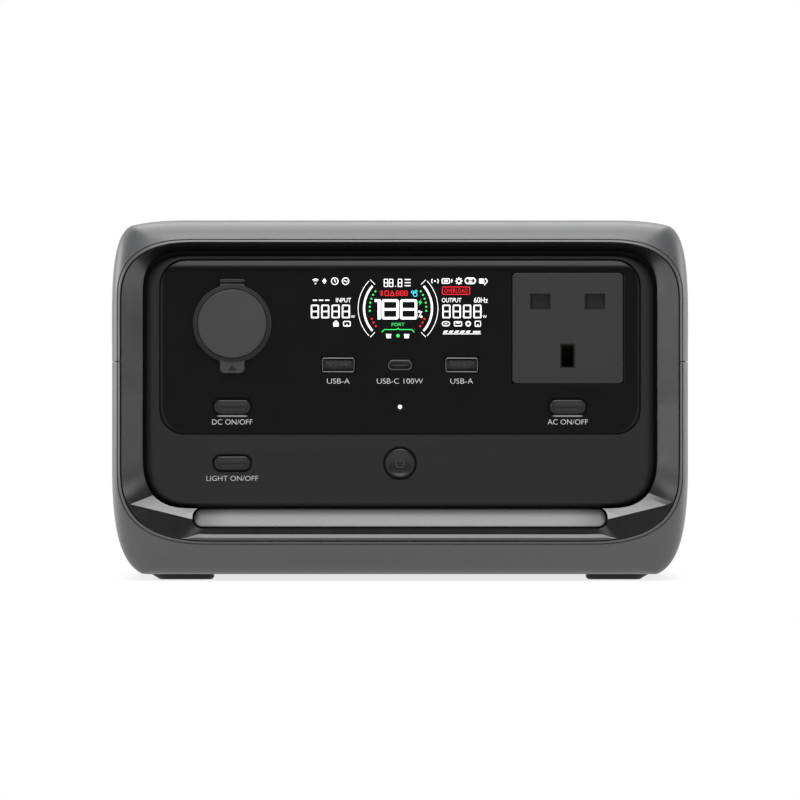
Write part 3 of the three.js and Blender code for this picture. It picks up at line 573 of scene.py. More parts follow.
def outer_form(name, inset=0.0):
    """The housing's outer surface, or one a little inside it, as one closed solid."""
    rim, outline = shrunk(RIM_LINE, inset), shrunk(OUTLINE, inset)
    return loft(name, edge_sections(rim, outline, True) + edge_sections(rim, outline, False), HOUSING)


def shrunk(line, inset):
    """An outline pulled in by about the inset."""
    half_w, half_h = WIDTH / 2, (HEIGHT - BASE_Z) / 2
    return np.column_stack([line[:, 0] * (half_w - inset) / half_w,
                            MID_Z + (line[:, 1] - MID_Z) * (half_h - inset) / half_h])


def shell_form(name):
    """The housing wall: the outer surface, the bevelled rim and the cavity behind it."""
    inner = shrunk(OUTLINE, WALL)
    inner_rim = shrunk(RIM_LINE, WALL)
    rings = [
        ring_points(inner_rim, DEPTH - WALL),
        ring_points(inner, DEPTH - EDGE_DEPTH),
        ring_points(inner, EDGE_DEPTH),
        ring_points(shrunk(RIM_LINE, -1.5), WALL + 1.5),
        ring_points(RIM_LINE, WALL + 1),
    ]
    rings += [ring_points(shrunk(RIM_LINE, -out), depth) for out, depth in LIP]
    out, back = LIP[-1]
    front = [[(x, back + depth * (1 - back / EDGE_DEPTH), z) for x, depth, z in ring]
             for ring in edge_sections(shrunk(RIM_LINE, -out), OUTLINE, True)]
    rear = edge_sections(RIM_LINE, OUTLINE, False)
    return loft(name, rings + front[1:] + rear, HOUSING)


HANDLE_BOX = box_mm("handle_arm_right")
GRIP_BOX = box_mm("handle_grip")
HANDLE_INSIDE = HANDLE_BOX[0].x
HANDLE_FLOOR = HANDLE_BOX[0].z
PIVOT = middle_mm("handle_pin_right")
HANDLE_END = 7
SCOOP_HALF = 42
SCOOP_FRONT = 196  # depths behind the front edge
SCOOP_FLOOR = 133
SCOOP_ROUND = 10
ABOVE = HEIGHT + 8  # past every outer face, for cutters
BEHIND = DEPTH + 8
BESIDE = WIDTH / 2 + 6
REAR_CORNER = 5
VENT_CORNER = 4
SCREWS = [f"housing_screw_{number}" for number in (1, 2, 3, 4)]
SCREW_RECESS = dict(radius=3.4, top=4.8)
SEAL_DEPTH = 1.4  # how far the shut line's seal lies behind the housing's faces


def arm_profile(grow, open_top=False):
    """The folded arm from the side, round about its pin; its bed is open above the pin."""
    radius = HANDLE_END + grow
    profile = [(BEHIND, HANDLE_FLOOR - grow), (BEHIND, ABOVE)]
    profile.append((PIVOT.y - (radius if open_top else 0), ABOVE))
    for step in range(12 if open_top else 0, 25):
        turn = math.pi / 2 + math.pi * step / 24
        profile.append((PIVOT.y + radius * math.cos(turn), PIVOT.z + radius * math.sin(turn)))
    return profile


def handle_space(grow):
    """Everything cut away for the folded handle, grown by a clearance."""
    inside = HANDLE_INSIDE - grow
    grip_front = GRIP_BOX[0].y - grow
    scoop = [(grip_front + 1, ABOVE), (SCOOP_FRONT - grow, ABOVE)]
    for step in range(13):
        turn = math.pi + math.pi / 2 * step / 12
        scoop.append((SCOOP_FRONT - grow + SCOOP_ROUND + SCOOP_ROUND * math.cos(turn),
                      SCOOP_FLOOR - grow + SCOOP_ROUND + SCOOP_ROUND * math.sin(turn)))
    scoop.append((grip_front + 1, SCOOP_FLOOR - grow))
    grip = [(grip_front, HANDLE_FLOOR - grow), (BEHIND, HANDLE_FLOOR - grow),
            (BEHIND, ABOVE), (grip_front, ABOVE)]
    arms = [prism_x("cut_arm", arm_profile(grow, True), inside, BESIDE),
            prism_x("cut_arm", arm_profile(grow, True), -BESIDE, -inside)]
    space = prism_x("handle_space", grip, -inside - 1, inside + 1)
    boolean(space, arms + [prism_x("cut_scoop", scoop, -SCOOP_HALF - grow, SCOOP_HALF + grow)], "UNION")
    return space


def vent_cutter():
    """A bar through both side walls where the grilles sit."""
    lo, hi, centre = span_mm("vent_grille_right")
    half_y, half_z = (hi.y - lo.y) / 2 + GAP, (hi.z - lo.z) / 2 + GAP
    outline = rounded(half_y, half_z, VENT_CORNER + GAP, centre.y, centre.z)
    return prism_x("cut_vent", outline, -WIDTH / 2 - 5, WIDTH / 2 + 5)


def rear_cutter():
    lo, hi, centre = span_mm("rear_port_plate")
    corner = REAR_CORNER + GAP
    outline = rounded((hi.x - lo.x) / 2 + GAP, (hi.z - lo.z) / 2 + GAP, corner, centre.x, centre.z)
    return prism("cut_rear", outline, DEPTH - 8, DEPTH + 5)


def housing_shells():
    """Upper and lower shells, parted at the seam, with the handle's bed and the vents cut out."""
    shell = shell_form("upper_shell")
    bed = outer_form("bed_walls", 0.4)
    core = cuboid("core", -WIDTH, WIDTH, EDGE_DEPTH, DEPTH - WALL + 1, SEAM_Z, ABOVE)
    boolean(bed, [core], "INTERSECT")
    boolean(bed, [handle_space(WALL)], "INTERSECT")
    boolean(bed, [handle_space(GAP)])
    boolean(shell, [handle_space(GAP)])
    boolean(shell, [bed], "UNION")
    boolean(shell, [vent_cutter(), rear_cutter()])
    lower = copy_of(shell, "lower_shell")
    half = GAP / 2
    boolean(shell, [cuboid("above", -WIDTH, WIDTH, -9, BEHIND, SEAM_Z + half, ABOVE)],
            "INTERSECT", bevel=0.3)
    recesses = []
    for node in SCREWS:
        spot = middle_mm(node)
        ring = circle(SCREW_RECESS["radius"], spot.x, spot.y, 40)
        stages = (-1, SCREW_RECESS["top"])
        recesses.append(loft("cut_screw", [[(x, y, z) for x, y in ring] for z in stages], INNER))
    boolean(lower, [cuboid("below", -WIDTH, WIDTH, -9, BEHIND, -5, SEAM_Z - half)],
            "INTERSECT")
    boolean(lower, recesses, bevel=0.3)
    settle(shell, "housing", "upper_housing", slot="housing")
    settle(lower, "housing", "lower_housing", slot="housing")
    seal = outer_form("seam_seal", 0.9)
    half -= 0.02
    slab = cuboid("slab", -WIDTH, WIDTH, SEAL_DEPTH, DEPTH - 0.9, SEAM_Z - half, SEAM_Z + half)
    boolean(seal, [slab], "INTERSECT")
    inside = WIDTH / 2 - WALL - SEAL_DEPTH
    boolean(seal, [cuboid("core", -inside, inside, -1, DEPTH - WALL, SEAM_Z - 1, SEAM_Z + 1)])
    settle(seal, "housing", slot="soft_rubber", finish=RIM_RUBBER)


def handle():
    """Arms that carry the housing's corner on, and a ribbed soft grip between them."""
    for side, x0, x1 in [("left", -BESIDE, -HANDLE_INSIDE), ("right", HANDLE_INSIDE, BESIDE)]:
        arm = outer_form(f"arm_{side}")
        boolean(arm, [prism_x("arm", arm_profile(0), x0, x1)], "INTERSECT", bevel=0.5)
        settle(arm, "handle", f"handle_arm_{side}", slot="housing")
    half = HANDLE_INSIDE - GAP
    front = GRIP_BOX[0].y
    profile = [(front, HANDLE_FLOOR), (BEHIND, HANDLE_FLOOR), (BEHIND, ABOVE), (front, ABOVE)]
    grip = outer_form("grip")
    boolean(grip, [prism_x("bar", profile, -half, half)], "INTERSECT", bevel=0.6)
    pitch, half_gap = 4.5, 0.7
    for line in range(-12, 13):
        x = line * pitch
        rib_gap = cuboid("rib_gap", x - half_gap, x + half_gap, front + 3, DEPTH - 3.5,
                         HANDLE_FLOOR + 3, ABOVE)
        boolean(rib_gap, [outer_form("core", 0.6)])
        boolean(grip, [rib_gap], smooth=50)
    settle(grip, "handle", "handle_grip", slot="soft_rubber", finish=GRIP_RUBBER)


housing_shells()
handle()


# ---------------------------------------------------------------- front: ring, lens, carrier, panel

PANEL_LO, PANEL_HI = box_mm("display_panel")
FACE = PANEL_LO.y  # depth of the panel's front
RING_LO, RING_HI = box_mm("front_trim_ring")
LENS_LO, LENS_HI = box_mm("light_bar_lens")
HOLE_LINE = matched(soft_rect(**RING_HOLE), ANGLES)
RING_INNER = 10.5
RING_BACK = RING_HI.y
BUTTONS = ("dc", "ac", "light", "power")
RING_CREASE = 14  # degrees at which the ring's folds stay sharp
USB_MOUTHS = {"usb_a_port_left": (6.9, 3.3, 0.6), "usb_a_port_right": (6.9, 3.3, 0.6),
              "usb_c_port": (5.2, 2.35, 2.3)}  # half width, half height, corner of the panel's holes


def lens_outline(grow):
    half_w = (LENS_HI.x - LENS_LO.x) / 2
    half_h = (LENS_HI.z - LENS_LO.z) / 2
    return rounded(half_w + grow, half_h + grow, 3.2 + grow, 0, (LENS_HI.z + LENS_LO.z) / 2)


def ease(value, low, high):
    share = np.clip((value - low) / (high - low), 0, 1)
    return share * share * (3 - 2 * share)


def crease_share(outer):
    """How far in from the rim the ring folds: level below the lens, then rising to the rim."""
    level, reach, climb = 24.6, LENS_HI.x, 6.4 / 26.3
    across = np.abs(HOLE_LINE[:, 0]) - np.abs(outer[:, 0])
    up = HOLE_LINE[:, 1] - outer[:, 1]
    low = outer[:, 1] < MID_Z
    flat = (level - outer[:, 1]) / np.where(low, up, 1)
    beyond = np.abs(outer[:, 0]) + across * flat > reach
    start = level + (np.abs(outer[:, 0]) - reach) * climb - outer[:, 1]
    risen = start / np.where(low, up - across * climb, 1)
    return np.where(low, np.clip(np.where(beyond, risen, flat), 0.03, 0.7), 0.03)


def trim_ring():
    """Glossy ring: a flat inward slope at the sides; along the bottom it folds into a bright
    lip, a dark face and an upper slope, the fold running out to the rim round the corners."""
    lip, lip_fall, top_fall = 0.75, 0.95, 5.85
    side_slope, bottom_slope, face_slope = 0.68, 0.46, 0.07
    outer = matched(soft_rect(**RIM, inset=GAP), ANGLES)
    low = outer[:, 1] < MID_Z
    run = np.where(low, 1 - ease(np.abs(outer[:, 0]), LENS_HI.x - 1, LENS_HI.x + 5), 0)

    def across(share, depth):
        share = np.zeros(len(outer)) + share
        depth = np.zeros(len(outer)) + depth
        line = outer + (HOLE_LINE - outer) * share[:, None]
        return [(x, d, z) for (x, z), d in zip(line, depth)]

    crease = crease_share(outer)
    width = np.hypot(*(HOLE_LINE - outer).T)
    strip = np.minimum(0.025 + 0.175 * run, crease - 0.004)
    fold = ease(50 - outer[:, 1], 0, 24)
    slope = np.where(low, side_slope + (bottom_slope - side_slope) * fold, top_fall / width)
    face = slope + (face_slope - slope) * ease(crease, 0.03, 0.3)
    crease_depth = lip + lip_fall * run + face * (crease - strip) * width
    slope_end = crease_depth + slope * (1 - crease) * width
    rings = [across(0, 1.6), across(0, 0.95), across(0.015, lip),
             across(np.minimum(0.02 + 0.075 * run, strip - 0.003), 0.74 - 0.24 * run),
             across(strip, lip + lip_fall * run),
             across(crease, crease_depth)]
    for share in (0.25, 0.5, 0.75, 0.96):
        rings.append(across(crease + (1 - crease) * share,
                            crease_depth + (slope_end - crease_depth) * share))
    rings += [across(0.985, slope_end + 0.5), across(1.0, RING_INNER + 0.1),
              across(1.0, RING_BACK), ring_points(outer, RING_BACK)]
    ring = loft("trim_ring", rings, TRIM, RING_CREASE, hoop=True)
    boolean(ring, [prism("slot", lens_outline(0.55), -3, RING_BACK + 3)], smooth=RING_CREASE)
    settle(ring, "housing", "front_trim_ring", slot="trim")


def light_bar():
    """Frosted lens, gently domed, lying in the lower slope of the ring."""
    middle = (LENS_HI.z + LENS_LO.z) / 2
    slope = 0.62
    centre_depth = 6.4
    profile = rolled_edge(3.2, 0, 0.9, 0.7, 6) + [(1.6, -0.08), (2.4, -0.13), (3.1, -0.15)]
    rings = [[(x, centre_depth + depth + (z - middle) * slope, z) for x, z in lens_outline(-inset)]
             for inset, depth in profile]
    settle(loft("light_lens", rings, LENS), "housing", "light_bar_lens", slot="lens")


def front_holes(mouth, back, flare=0.22):
    """Cutters for what passes through the panel and the carrier, chamfered at the mouth."""
    barrel, outlet, pipe = (middle_mm(node) for node in
                            ("dc_socket_barrel", "ac_outlet_face", "status_light_pipe"))
    outlines = [lambda inset, name=name: button_outline(name, 0.8 - inset)
                for name in BUTTONS]
    outlines += [lambda inset: circle(12.3 - inset, barrel.x, barrel.z, 72),
                 lambda inset: rounded(22.8 - inset, 22.8 - inset, 1.4 - inset, outlet.x, outlet.z),
                 lambda inset: circle(1.35 - inset, pipe.x, pipe.z, 32)]
    for name, mouth_size in USB_MOUTHS.items():
        outlines.append(lambda inset, spot=middle_mm(name), size=mouth_size:
                        rounded(*(side - inset for side in size), spot.x, spot.z))
    stages = [(-flare - 0.5, mouth - 0.5), (0, mouth + flare), (0, back)]
    return [loft("hole", grown(outline, stages), INNER) for outline in outlines]


def button_outline(name, grow):
    lo, hi, spot = span_mm(f"button_{name}")
    retainer = 1.5
    half_w = (hi.x - lo.x) / 2 - retainer + grow
    half_h = (hi.z - lo.z) / 2 - retainer + grow
    if name == "power":
        return circle(half_w, spot.x, spot.z, 72)
    return rounded(half_w, half_h, min(2.5 + grow, half_h - 0.01), spot.x, spot.z, 10)


CARRIER_FACE = dict(half=98.5, bottom=31.4, top=131.2, top_corner=(14.5, 14.5), bottom_corner=(16, 16))
CARRIER_CAVITY = dict(half=95.5, bottom=34.2, top=128.5, top_corner=(12, 12), bottom_corner=(13, 13))
DISPLAY_WINDOW = (40.3, 15.3, 1.3)  # half width, half height and corner
LIGHT_SLOT_HALF = 79
CARRIER_ROOT = dict(half=103.6, bottom=29.9, top=131.9, top_corner=(17.5, 16.5), bottom_corner=(18.5, 20))


def carrier():
    """Matte fascia: flat face, rolled cheeks and the flange behind the ring."""
    front_depth = FACE + 0.3
    face = matched(soft_rect(**CARRIER_FACE), ANGLES)
    root = matched(soft_rect(**CARRIER_ROOT), ANGLES)
    flange = matched(soft_rect(**RIM, inset=2 * GAP), ANGLES)
    lo, hi = box_mm("front_carrier")
    rings = [ring_points(shrunk(root, 7), hi.y - 3), ring_points(shrunk(root, 7), hi.y),
             ring_points(flange, hi.y), ring_points(flange, hi.y - 2.5), ring_points(root, hi.y - 2.5)]
    steps = 12
    for step in range(steps + 1):
        turn = math.pi / 2 * step / steps
        line = root + (face - root) * (1 - math.cos(turn))
        rings.append(ring_points(line, RING_INNER - (RING_INNER - front_depth) * math.sin(turn)))
    rings.append(ring_points(shrunk(face, 2), front_depth))
    body = loft("carrier", rings, CARRIER)
    pocket = prism("pocket", panel_outline(0.35), -3, FACE + 1.9)
    display = middle_mm("lcd_module")
    window = prism("window", rounded(*DISPLAY_WINDOW, display.x, display.z), 0, 30)
    inside = prism("inside", soft_rect(**CARRIER_CAVITY), FACE + 4.4, hi.y + 4)
    slot = cuboid("slot", -LIGHT_SLOT_HALF, LIGHT_SLOT_HALF, 12, 24, 20.4, 28)
    boolean(body, [pocket])
    boolean(body, [inside])
    boolean(body, [window, slot] + front_holes(front_depth, 24))
    settle(body, "housing", "front_carrier", slot="carrier")


def panel_outline(grow, top_drop=0.0, under=1.0):
    """The panel's outline grown all round; along the bottom only by a share of that."""
    half = (PANEL_HI.x - PANEL_LO.x) / 2 + grow
    return soft_rect(half, PANEL_LO.z - grow * under, PANEL_HI.z + grow - top_drop,
                     (11.5 + grow, 11.5 + grow), (10.5 + grow, 10.5 + grow * under), power=2.15)


def panel():
    """Polished panel: rounded sides, a fine lower edge and a top that rolls gently back."""
    roll, radius = 5.2, 11
    bevel, bevel_depth = 2.0, 1.1

    def ring(inset, depth, top_drop=0.0):
        points = []
        for x, z in panel_outline(-inset, top_drop, 0.15):
            over = max(0.0, z - (PANEL_HI.z - roll))
            rolled = depth + radius - math.sqrt(radius * radius - over * over)
            points.append((x, min(rolled, PANEL_HI.y - 0.05 * (1 - inset / bevel)), z))
        return points

    rings = [ring(inset, depth, -0.8 * inset)
             for inset, depth in rolled_edge(PANEL_HI.y, FACE, bevel, bevel_depth, 8)]
    for step in range(1, 13):
        rings.append(ring(bevel + 0.02 * step, FACE, -0.8 * bevel + (roll - 0.2 * bevel) * step / 12))
    face = loft("panel", rings, PANEL, 40)
    boolean(face, front_holes(FACE, 24), smooth=40)
    settle(face, "housing", "display_panel", slot="panel")


# ---------------------------------------------------------------- front: outlets and buttons

def tapered_hole(half_w, half_h, flare, x, z, front, back):
    """A slot cutter with a flared mouth."""
    stages = [(flare + 0.6, front - 0.6), (flare, front), (0.0, front + flare * 2.2), (0.0, back)]
    rings = [[(px, depth, pz) for px, pz in rounded(half_w + grow, half_h + grow, 0.35, x, z, 3)]
             for grow, depth in stages]
    return loft("hole", rings, INNER)


def mains_outlet():
    """Square outlet face with three flared slots, set a hair proud of a dark gap."""
    lo, hi, spot = span_mm("ac_outlet_face")
    half = (hi.x - lo.x) / 2
    front = FACE + 0.05
    profile = rolled_edge(hi.y, front, 0.45, 0.45, 4)
    plate = loft("outlet_face", grown(lambda inset: rounded(half - inset, half - inset, 1.6 - inset,
                                                            spot.x, spot.z, 5), profile), OUTLET)
    pins = [(-11.1, 10.7, 3.5, 2.6), (11.1, 10.7, 3.5, 2.6), (0, -11.4, 2.35, 4.35)]
    boolean(plate, [tapered_hole(w, h, 0.75, spot.x + x, spot.z + z, front, hi.y + 1)
                    for x, z, w, h in pins], bevel=0.08)
    settle(plate, "housing", "ac_outlet_face", slot="outlet")


def turned(name, profile, spot, finish, steps=72, hoop=False):
    """A turned piece about Y from (radius, depth) pairs."""
    rings = [[(x, depth, z) for x, z in circle(radius, spot.x, spot.z, steps)]
             for radius, depth in profile]
    return loft(name, rings, finish, hoop=hoop)


def car_socket():
    """Steel barrel with a rolled mouth, open in front and stepped inside."""
    _, back, spot = span_mm("dc_socket_barrel")
    outer, bore, hub = 12, 10.6, 3.3
    profile = [(hub, back.y), (outer - 0.6, back.y), (outer, back.y - 0.6),
               (outer, FACE + 0.4), (outer - 0.4, FACE), (bore + 0.5, FACE), (bore, FACE + 0.6),
               (bore, FACE + 9), (bore - 0.35, FACE + 9.6), (bore - 0.35, back.y - 2),
               (hub, back.y - 2)]
    barrel = turned("socket_barrel", profile, spot, STEEL, hoop=True)
    settle(barrel, "housing", "dc_socket_barrel", slot="steel")


def cap_tab(name, x, z0, z1, front, back, radius):
    """A rounded rubber tab with softened front edges."""
    half, mid, half_h = 5, (z0 + z1) / 2, (z1 - z0) / 2
    profile = [(0, back), (0, front + 0.35), (0.1, front + 0.12), (0.35, front)]
    return loft(name, grown(lambda inset: rounded(half - inset, half_h - inset, radius - inset / 2,
                                                  x, mid, 6), profile), RUBBER)


def socket_cap():
    """Rubber cap: dished rim, raised face, plug stub, hinge tab and a pull tab with an arrow."""
    lo, hi = box_mm("dc_socket_cap")
    anchor_lo, anchor_hi = box_mm("dc_cap_anchor")
    spot = middle_mm("dc_socket_barrel")
    back = FACE - GAP
    edge = 15.95
    profile = [(0.01, 8.4), (8.6, 8.4), (9.2, 7.9), (9.6, 7.2), (9.6, back), (edge - 0.3, back),
               (edge, back - 0.3), (edge, 3.3), (edge - 0.2, 3.0), (14.3, 2.9),
               (14.0, 2.7), (13.97, 1.6), (13.8, 1.2), (13.4, 1.04), (12.8, 1.0), (7, 0.97),
               (0.01, 0.96)]
    cap = turned("socket_cap", profile, spot, RUBBER, 96)
    hinge = cap_tab("tab", spot.x, spot.z + 10, hi.z, 2.95, back, 0.6)
    pull = cap_tab("tab", spot.x, lo.z, spot.z - 10, 2.6, back, 1.9)
    boolean(cap, [hinge, pull], "UNION")
    low = lo.z + 1.0
    arrow = [(spot.x - 1.8, low), (spot.x + 1.8, low), (spot.x, low + 2.3)]
    boolean(cap, [prism("arrow", arrow, 1.5, 3.05)], bevel=0.1)
    settle(cap, "dc_cap", "dc_socket_cap", slot="soft_rubber")
    bevel = [(edge - 0.1, 3.2), (edge - 0.15, 2.8), (14.6, 1.7), (14.3, 1.62), (14.15, 1.8),
             (14.1, 3.2)]
    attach(turned("cap_rim", bevel, spot, RIM_RUBBER, 96, hoop=True), "dc_cap")
    arrow_fill = [(spot.x - 1.7, low + 0.05), (spot.x + 1.7, low + 0.05), (spot.x, low + 2.2)]
    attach(prism("cap_arrow", arrow_fill, 2.85, 3.1, RIM_RUBBER), "dc_cap")
    anchor = cap_tab("cap_anchor", spot.x, anchor_lo.z, anchor_hi.z, anchor_lo.y, anchor_hi.y, 0.6)
    settle(anchor, "housing", "dc_cap_anchor", slot="soft_rubber")


def usb_port(node, half_w, half_h, radius, skin, tongue):
    """Drawn metal mouth with a rolled lip, black tongue and gold contacts inside."""
    lo, hi, spot = span_mm(node)

    def outline(inset):
        return rounded(half_w - inset, half_h - inset, max(radius - inset, 0.15), spot.x, spot.z, 6)

    profile = [(0, hi.y), (0, lo.y + 0.25), (0.08, lo.y + 0.05), (0.2, lo.y), (skin - 0.12, lo.y + 0.05),
               (skin, lo.y + 0.3), (skin, hi.y - 1.4)]
    # The shell's nickel carries painted shade for the inside of the mouth.
    shell = loft(f"{node}_shell", grown(outline, profile), NICKEL_PAINTED_SHADE)
    settle(shell, "housing", node, slot="steel")
    low, high, half = tongue
    bar = cuboid(f"{node}_tongue", spot.x - half, spot.x + half, lo.y + 1.1, hi.y - 1.5,
                 spot.z + low, spot.z + high, INNER)
    round_edges(bar, 0.15)
    tidy(bar)
    settle(bar, "housing", slot="inner_plastic")
    count = 4 if half > 4 else 6
    for index in range(count):
        x = spot.x + (index - (count - 1) / 2) * half * 1.7 / count
        width = half * 0.2 / count
        strip = cuboid(f"{node}_contact_{index + 1}", x - width, x + width, lo.y + 1.6, hi.y - 3,
                       spot.z + low - 0.12, spot.z + low + 0.05, BRASS)
        round_edges(strip, 0.04, 1)
        tidy(strip)
        settle(strip, "housing", slot="contact_brass")


def button(name, body):
    """Press key with a rolled edge and a shallow finger scoop along its middle."""
    lo, hi = box_mm(f"button_{name}")
    front, edge, flange_front = lo.y, 0.75, 9.2
    scoop = [(0.95, 0.01), (1.25, 0.04), (1.55, 0.1), (1.85, 0.17), (2.15, 0.23), (2.5, 0.26)]
    if name == "power":
        scoop = [(0.9, 0.02), (1.2, 0.16), (1.8, 0.36), (2.8, 0.55), (4.2, 0.68), (5.4, 0.72)]
    profile = rolled_edge(flange_front, front, edge, edge, 5)
    profile += [(inset, front + depth) for inset, depth in scoop]
    key = loft(f"key_{name}", grown(lambda inset: button_outline(name, -inset), profile), BUTTON, 50)
    flange = prism("flange", button_outline(name, 1.45), flange_front, hi.y)
    boolean(key, [flange], "UNION", smooth=50)
    settle(key, body, f"button_{name}", slot="button")


def shutter_spring():
    """Coil spring over the shutter, wound evenly from bottom to top, on a mesh of its own."""
    lo, hi, axis = span_mm("ac_shutter_spring")
    wire, coil, turns, per_turn, sides = 0.2, 0.8, 5, 24, 8
    bottom, top = lo.z + 0.25, hi.z - 0.25
    rings = []
    for step in range(turns * per_turn + 1):
        turn = 2 * math.pi * step / per_turn
        height = bottom + (top - bottom) * step / (turns * per_turn)
        rings.append([(axis.x + reach * math.cos(turn), axis.y + reach * math.sin(turn), height + rise)
                      for reach, rise in circle(wire, coil, 0, sides)])
    spring = loft("shutter_spring", rings, STEEL)
    settle(spring, "housing", "ac_shutter_spring", slot="steel")
    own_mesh(spring)


trim_ring()
light_bar()
carrier()
panel()
mains_outlet()
shutter_spring()
car_socket()
socket_cap()
for side_name in ("left", "right"):
    usb_port(f"usb_a_port_{side_name}", 6.6, 3, 0.8, 0.5, (0.15, 1.9, 5.4))
usb_port("usb_c_port", 4.95, 2.1, 2.0, 0.6, (-0.45, 0.45, 3.4))
for key_name in BUTTONS:
    button(key_name, f"{key_name}_key")


# ---------------------------------------------------------------- display marks and printed labels

DISPLAY_X, DISPLAY_Z = -0.8, 110.3  # middle of the round gauge
MARK_FRONT = FACE - 0.035
MARK_BACK = FACE + 0.12
LETTER_DEPTH = 0.1
marks = {}  # colour name: (points, faces) of everything lit in that colour


def add_mark(colour, points, faces):
    all_points, all_faces = marks.setdefault(colour, ([], []))
    start = len(all_points)
    all_points.extend((DISPLAY_X + u, depth, DISPLAY_Z + v) for u, depth, v in points)
    all_faces.extend(tuple(start + i for i in face) for face in faces)


def filled(outline, colour="white"):
    """A solid patch with the given (u, v) outline."""
    count = len(outline)
    points = [(u, depth, v) for depth in (MARK_FRONT, MARK_BACK) for u, v in outline]
    faces = [tuple(range(count)), tuple(reversed(range(count, 2 * count)))]
    faces += [(i, (i + 1) % count, count + (i + 1) % count, count + i) for i in range(count)]
    add_mark(colour, points, faces)


def ribbon(line, width, closed=False, colour="white"):
    """A stroke of even width along a (u, v) line, mitred at its corners."""
    line = [Vector(p) for p in line]
    count = len(line)
    points = []
    for i, here in enumerate(line):
        before = line[i - 1] if i or closed else None
        after = line[(i + 1) % count] if i + 1 < count or closed else None
        ahead = (after - here).normalized() if after else (here - before).normalized()
        behind = (here - before).normalized() if before else ahead
        mean = (ahead + behind).normalized()
        side = Vector((-mean.y, mean.x)) * (width / 2 / max(0.4, mean.dot(ahead)))
        for edge in (here + side, here - side):
            points += [(edge.x, MARK_FRONT, edge.y), (edge.x, MARK_BACK, edge.y)]
    faces = []
    for i in range(count if closed else count - 1):
        a, b = 4 * i, 4 * ((i + 1) % count)
        faces += [(a, b, b + 2, a + 2), (a + 1, a + 3, b + 3, b + 1),
                  (a, a + 1, b + 1, b), (a + 2, b + 2, b + 3, a + 3)]
    if not closed:
        last = 4 * (count - 1)
        faces += [(0, 2, 3, 1), (last, last + 1, last + 3, last + 2)]
    add_mark(colour, points, faces)


def arc(u, v, radius, start, end, steps=16):
    """Points of an arc, angles in degrees from the right, anticlockwise."""
    turns = [math.radians(start + (end - start) * i / steps) for i in range(steps + 1)]
    return [(u + radius * math.cos(t), v + radius * math.sin(t)) for t in turns]


def box(u0, u1, v0, v1, radius=0.0):
    if not radius:
        return [(u0, v0), (u1, v0), (u1, v1), (u0, v1)]
    return rounded((u1 - u0) / 2, (v1 - v0) / 2, radius, (u0 + u1) / 2, (v0 + v1) / 2, 4)


def ring_mark(u, v, radius, width, colour="white"):
    ribbon(arc(u, v, radius, 0, 345, 23), width, True, colour)


def dot(u, v, radius, sides=8, colour="white"):
    filled(arc(u, v, radius, 0, 360 - 360 / sides, sides - 1), colour)


def eight(u0, u1, v0, v1, width, colour="white"):
    """A seven-segment eight: a rounded frame and its middle bar."""
    half = width / 2
    ribbon(box(u0 + half, u1 - half, v0 + half, v1 - half, width * 0.45), width, True, colour)
    middle = (v0 + v1) / 2
    filled(box(u0 + width, u1 - width, middle - half, middle + half), colour)


def gauge():
    """The round gauge: thin outer arcs, segmented thick arcs, end ticks and charge dots."""
    for side in (0, 180):
        ribbon(arc(0, 0, 16.2, side - 43.5, side + 43.5, 40), 0.25)
        for part in range(12):
            start = side - 41.4 + part * 6.9
            ribbon(arc(0, 0, 13.8, start, start + 6.6, 4), 0.85)
        for tick in (-46, 46):
            turn = math.radians(side + tick)
            ribbon([(r * math.cos(turn), r * math.sin(turn)) for r in (13.5, 16.2)], 0.25)
    for colour, angles in (("green", (37, 28.5, 20, 11.7, 3.3, -5)), ("red", (-21.7, -30, -38.5))):
        for angle in angles:
            turn = math.radians(angle)
            for u in (11.5 * math.cos(turn), -11.5 * math.cos(turn)):
                dot(u, 11.5 * math.sin(turn), 0.42, 12, colour)


def gauge_figures():
    """Figures and signs inside the gauge."""
    for u in (-5.8, -3.7, -0.1):
        eight(u, u + 1.8, 8.7, 12.0, 0.34)
    dot(-1.0, 8.95, 0.22)
    for row in range(3):
        ribbon([(2.7, 11.7 - row * 1.25), (5.1, 11.7 - row * 1.25)], 0.42)
    dot(-6.6, 5.7, 0.55, 12, "red")
    ribbon([(-6.6, 5.7), (-6.6, 7.3)], 0.55, colour="red")
    ribbon([(-7.7, 6.8), (-7.2, 6.8)], 0.3, colour="red")
    ribbon(box(-5.3, -3.9, 5.2, 7.1, 0.25), 0.35, True, colour="red")
    ribbon([(-3.3, 5.2), (-1.5, 5.2), (-2.4, 7.0)], 0.35, True, colour="red")
    for u in (-0.9, 0.8, 2.5):
        eight(u, u + 1.4, 5.1, 7.2, 0.28, colour="red")
    for u, v, radius in ((5.9, 6.6, 0.5), (7.3, 7.0, 0.4), (7.0, 5.6, 0.75)):
        ring_mark(u, v, radius, 0.3, colour="cyan")
    filled([(-9.5, 3.7), (-9.5, 2.6), (-8.3, 2.6), (-8.3, -4.5), (-7.1, -4.5), (-7.1, 3.7)])
    eight(-6.7, 0.35, -4.5, 3.7, 1.05)
    eight(0.75, 7.8, -4.5, 3.7, 1.05)
    filled([(9.3, 3.7), (8.2, 2.3), (8.85, 2.3), (8.6, 1.2), (9.8, 2.7), (9.1, 2.7)], colour="green")
    ribbon([(8.4, -3.5), (9.7, -1.2)], 0.36)
    ring_mark(8.65, -1.35, 0.34, 0.3)
    ring_mark(9.5, -3.4, 0.34, 0.3)
    ribbon([(-6.6, -9.7), (-5.6, -8.6), (-0.6, -8.6), (0.0, -8.1), (0.6, -8.6), (5.6, -8.6),
            (6.6, -9.7)], 0.36, colour="green")
    filled(arc(0, -11.1, 0.72, 0, 345, 15), "green")
    for u in (-4.9, 2.4):
        filled(box(u + 0.2, u + 2.0, -12.1, -11.2, 0.15))
        filled(box(u, u + 2.2, -11.0, -10.4, 0.1))


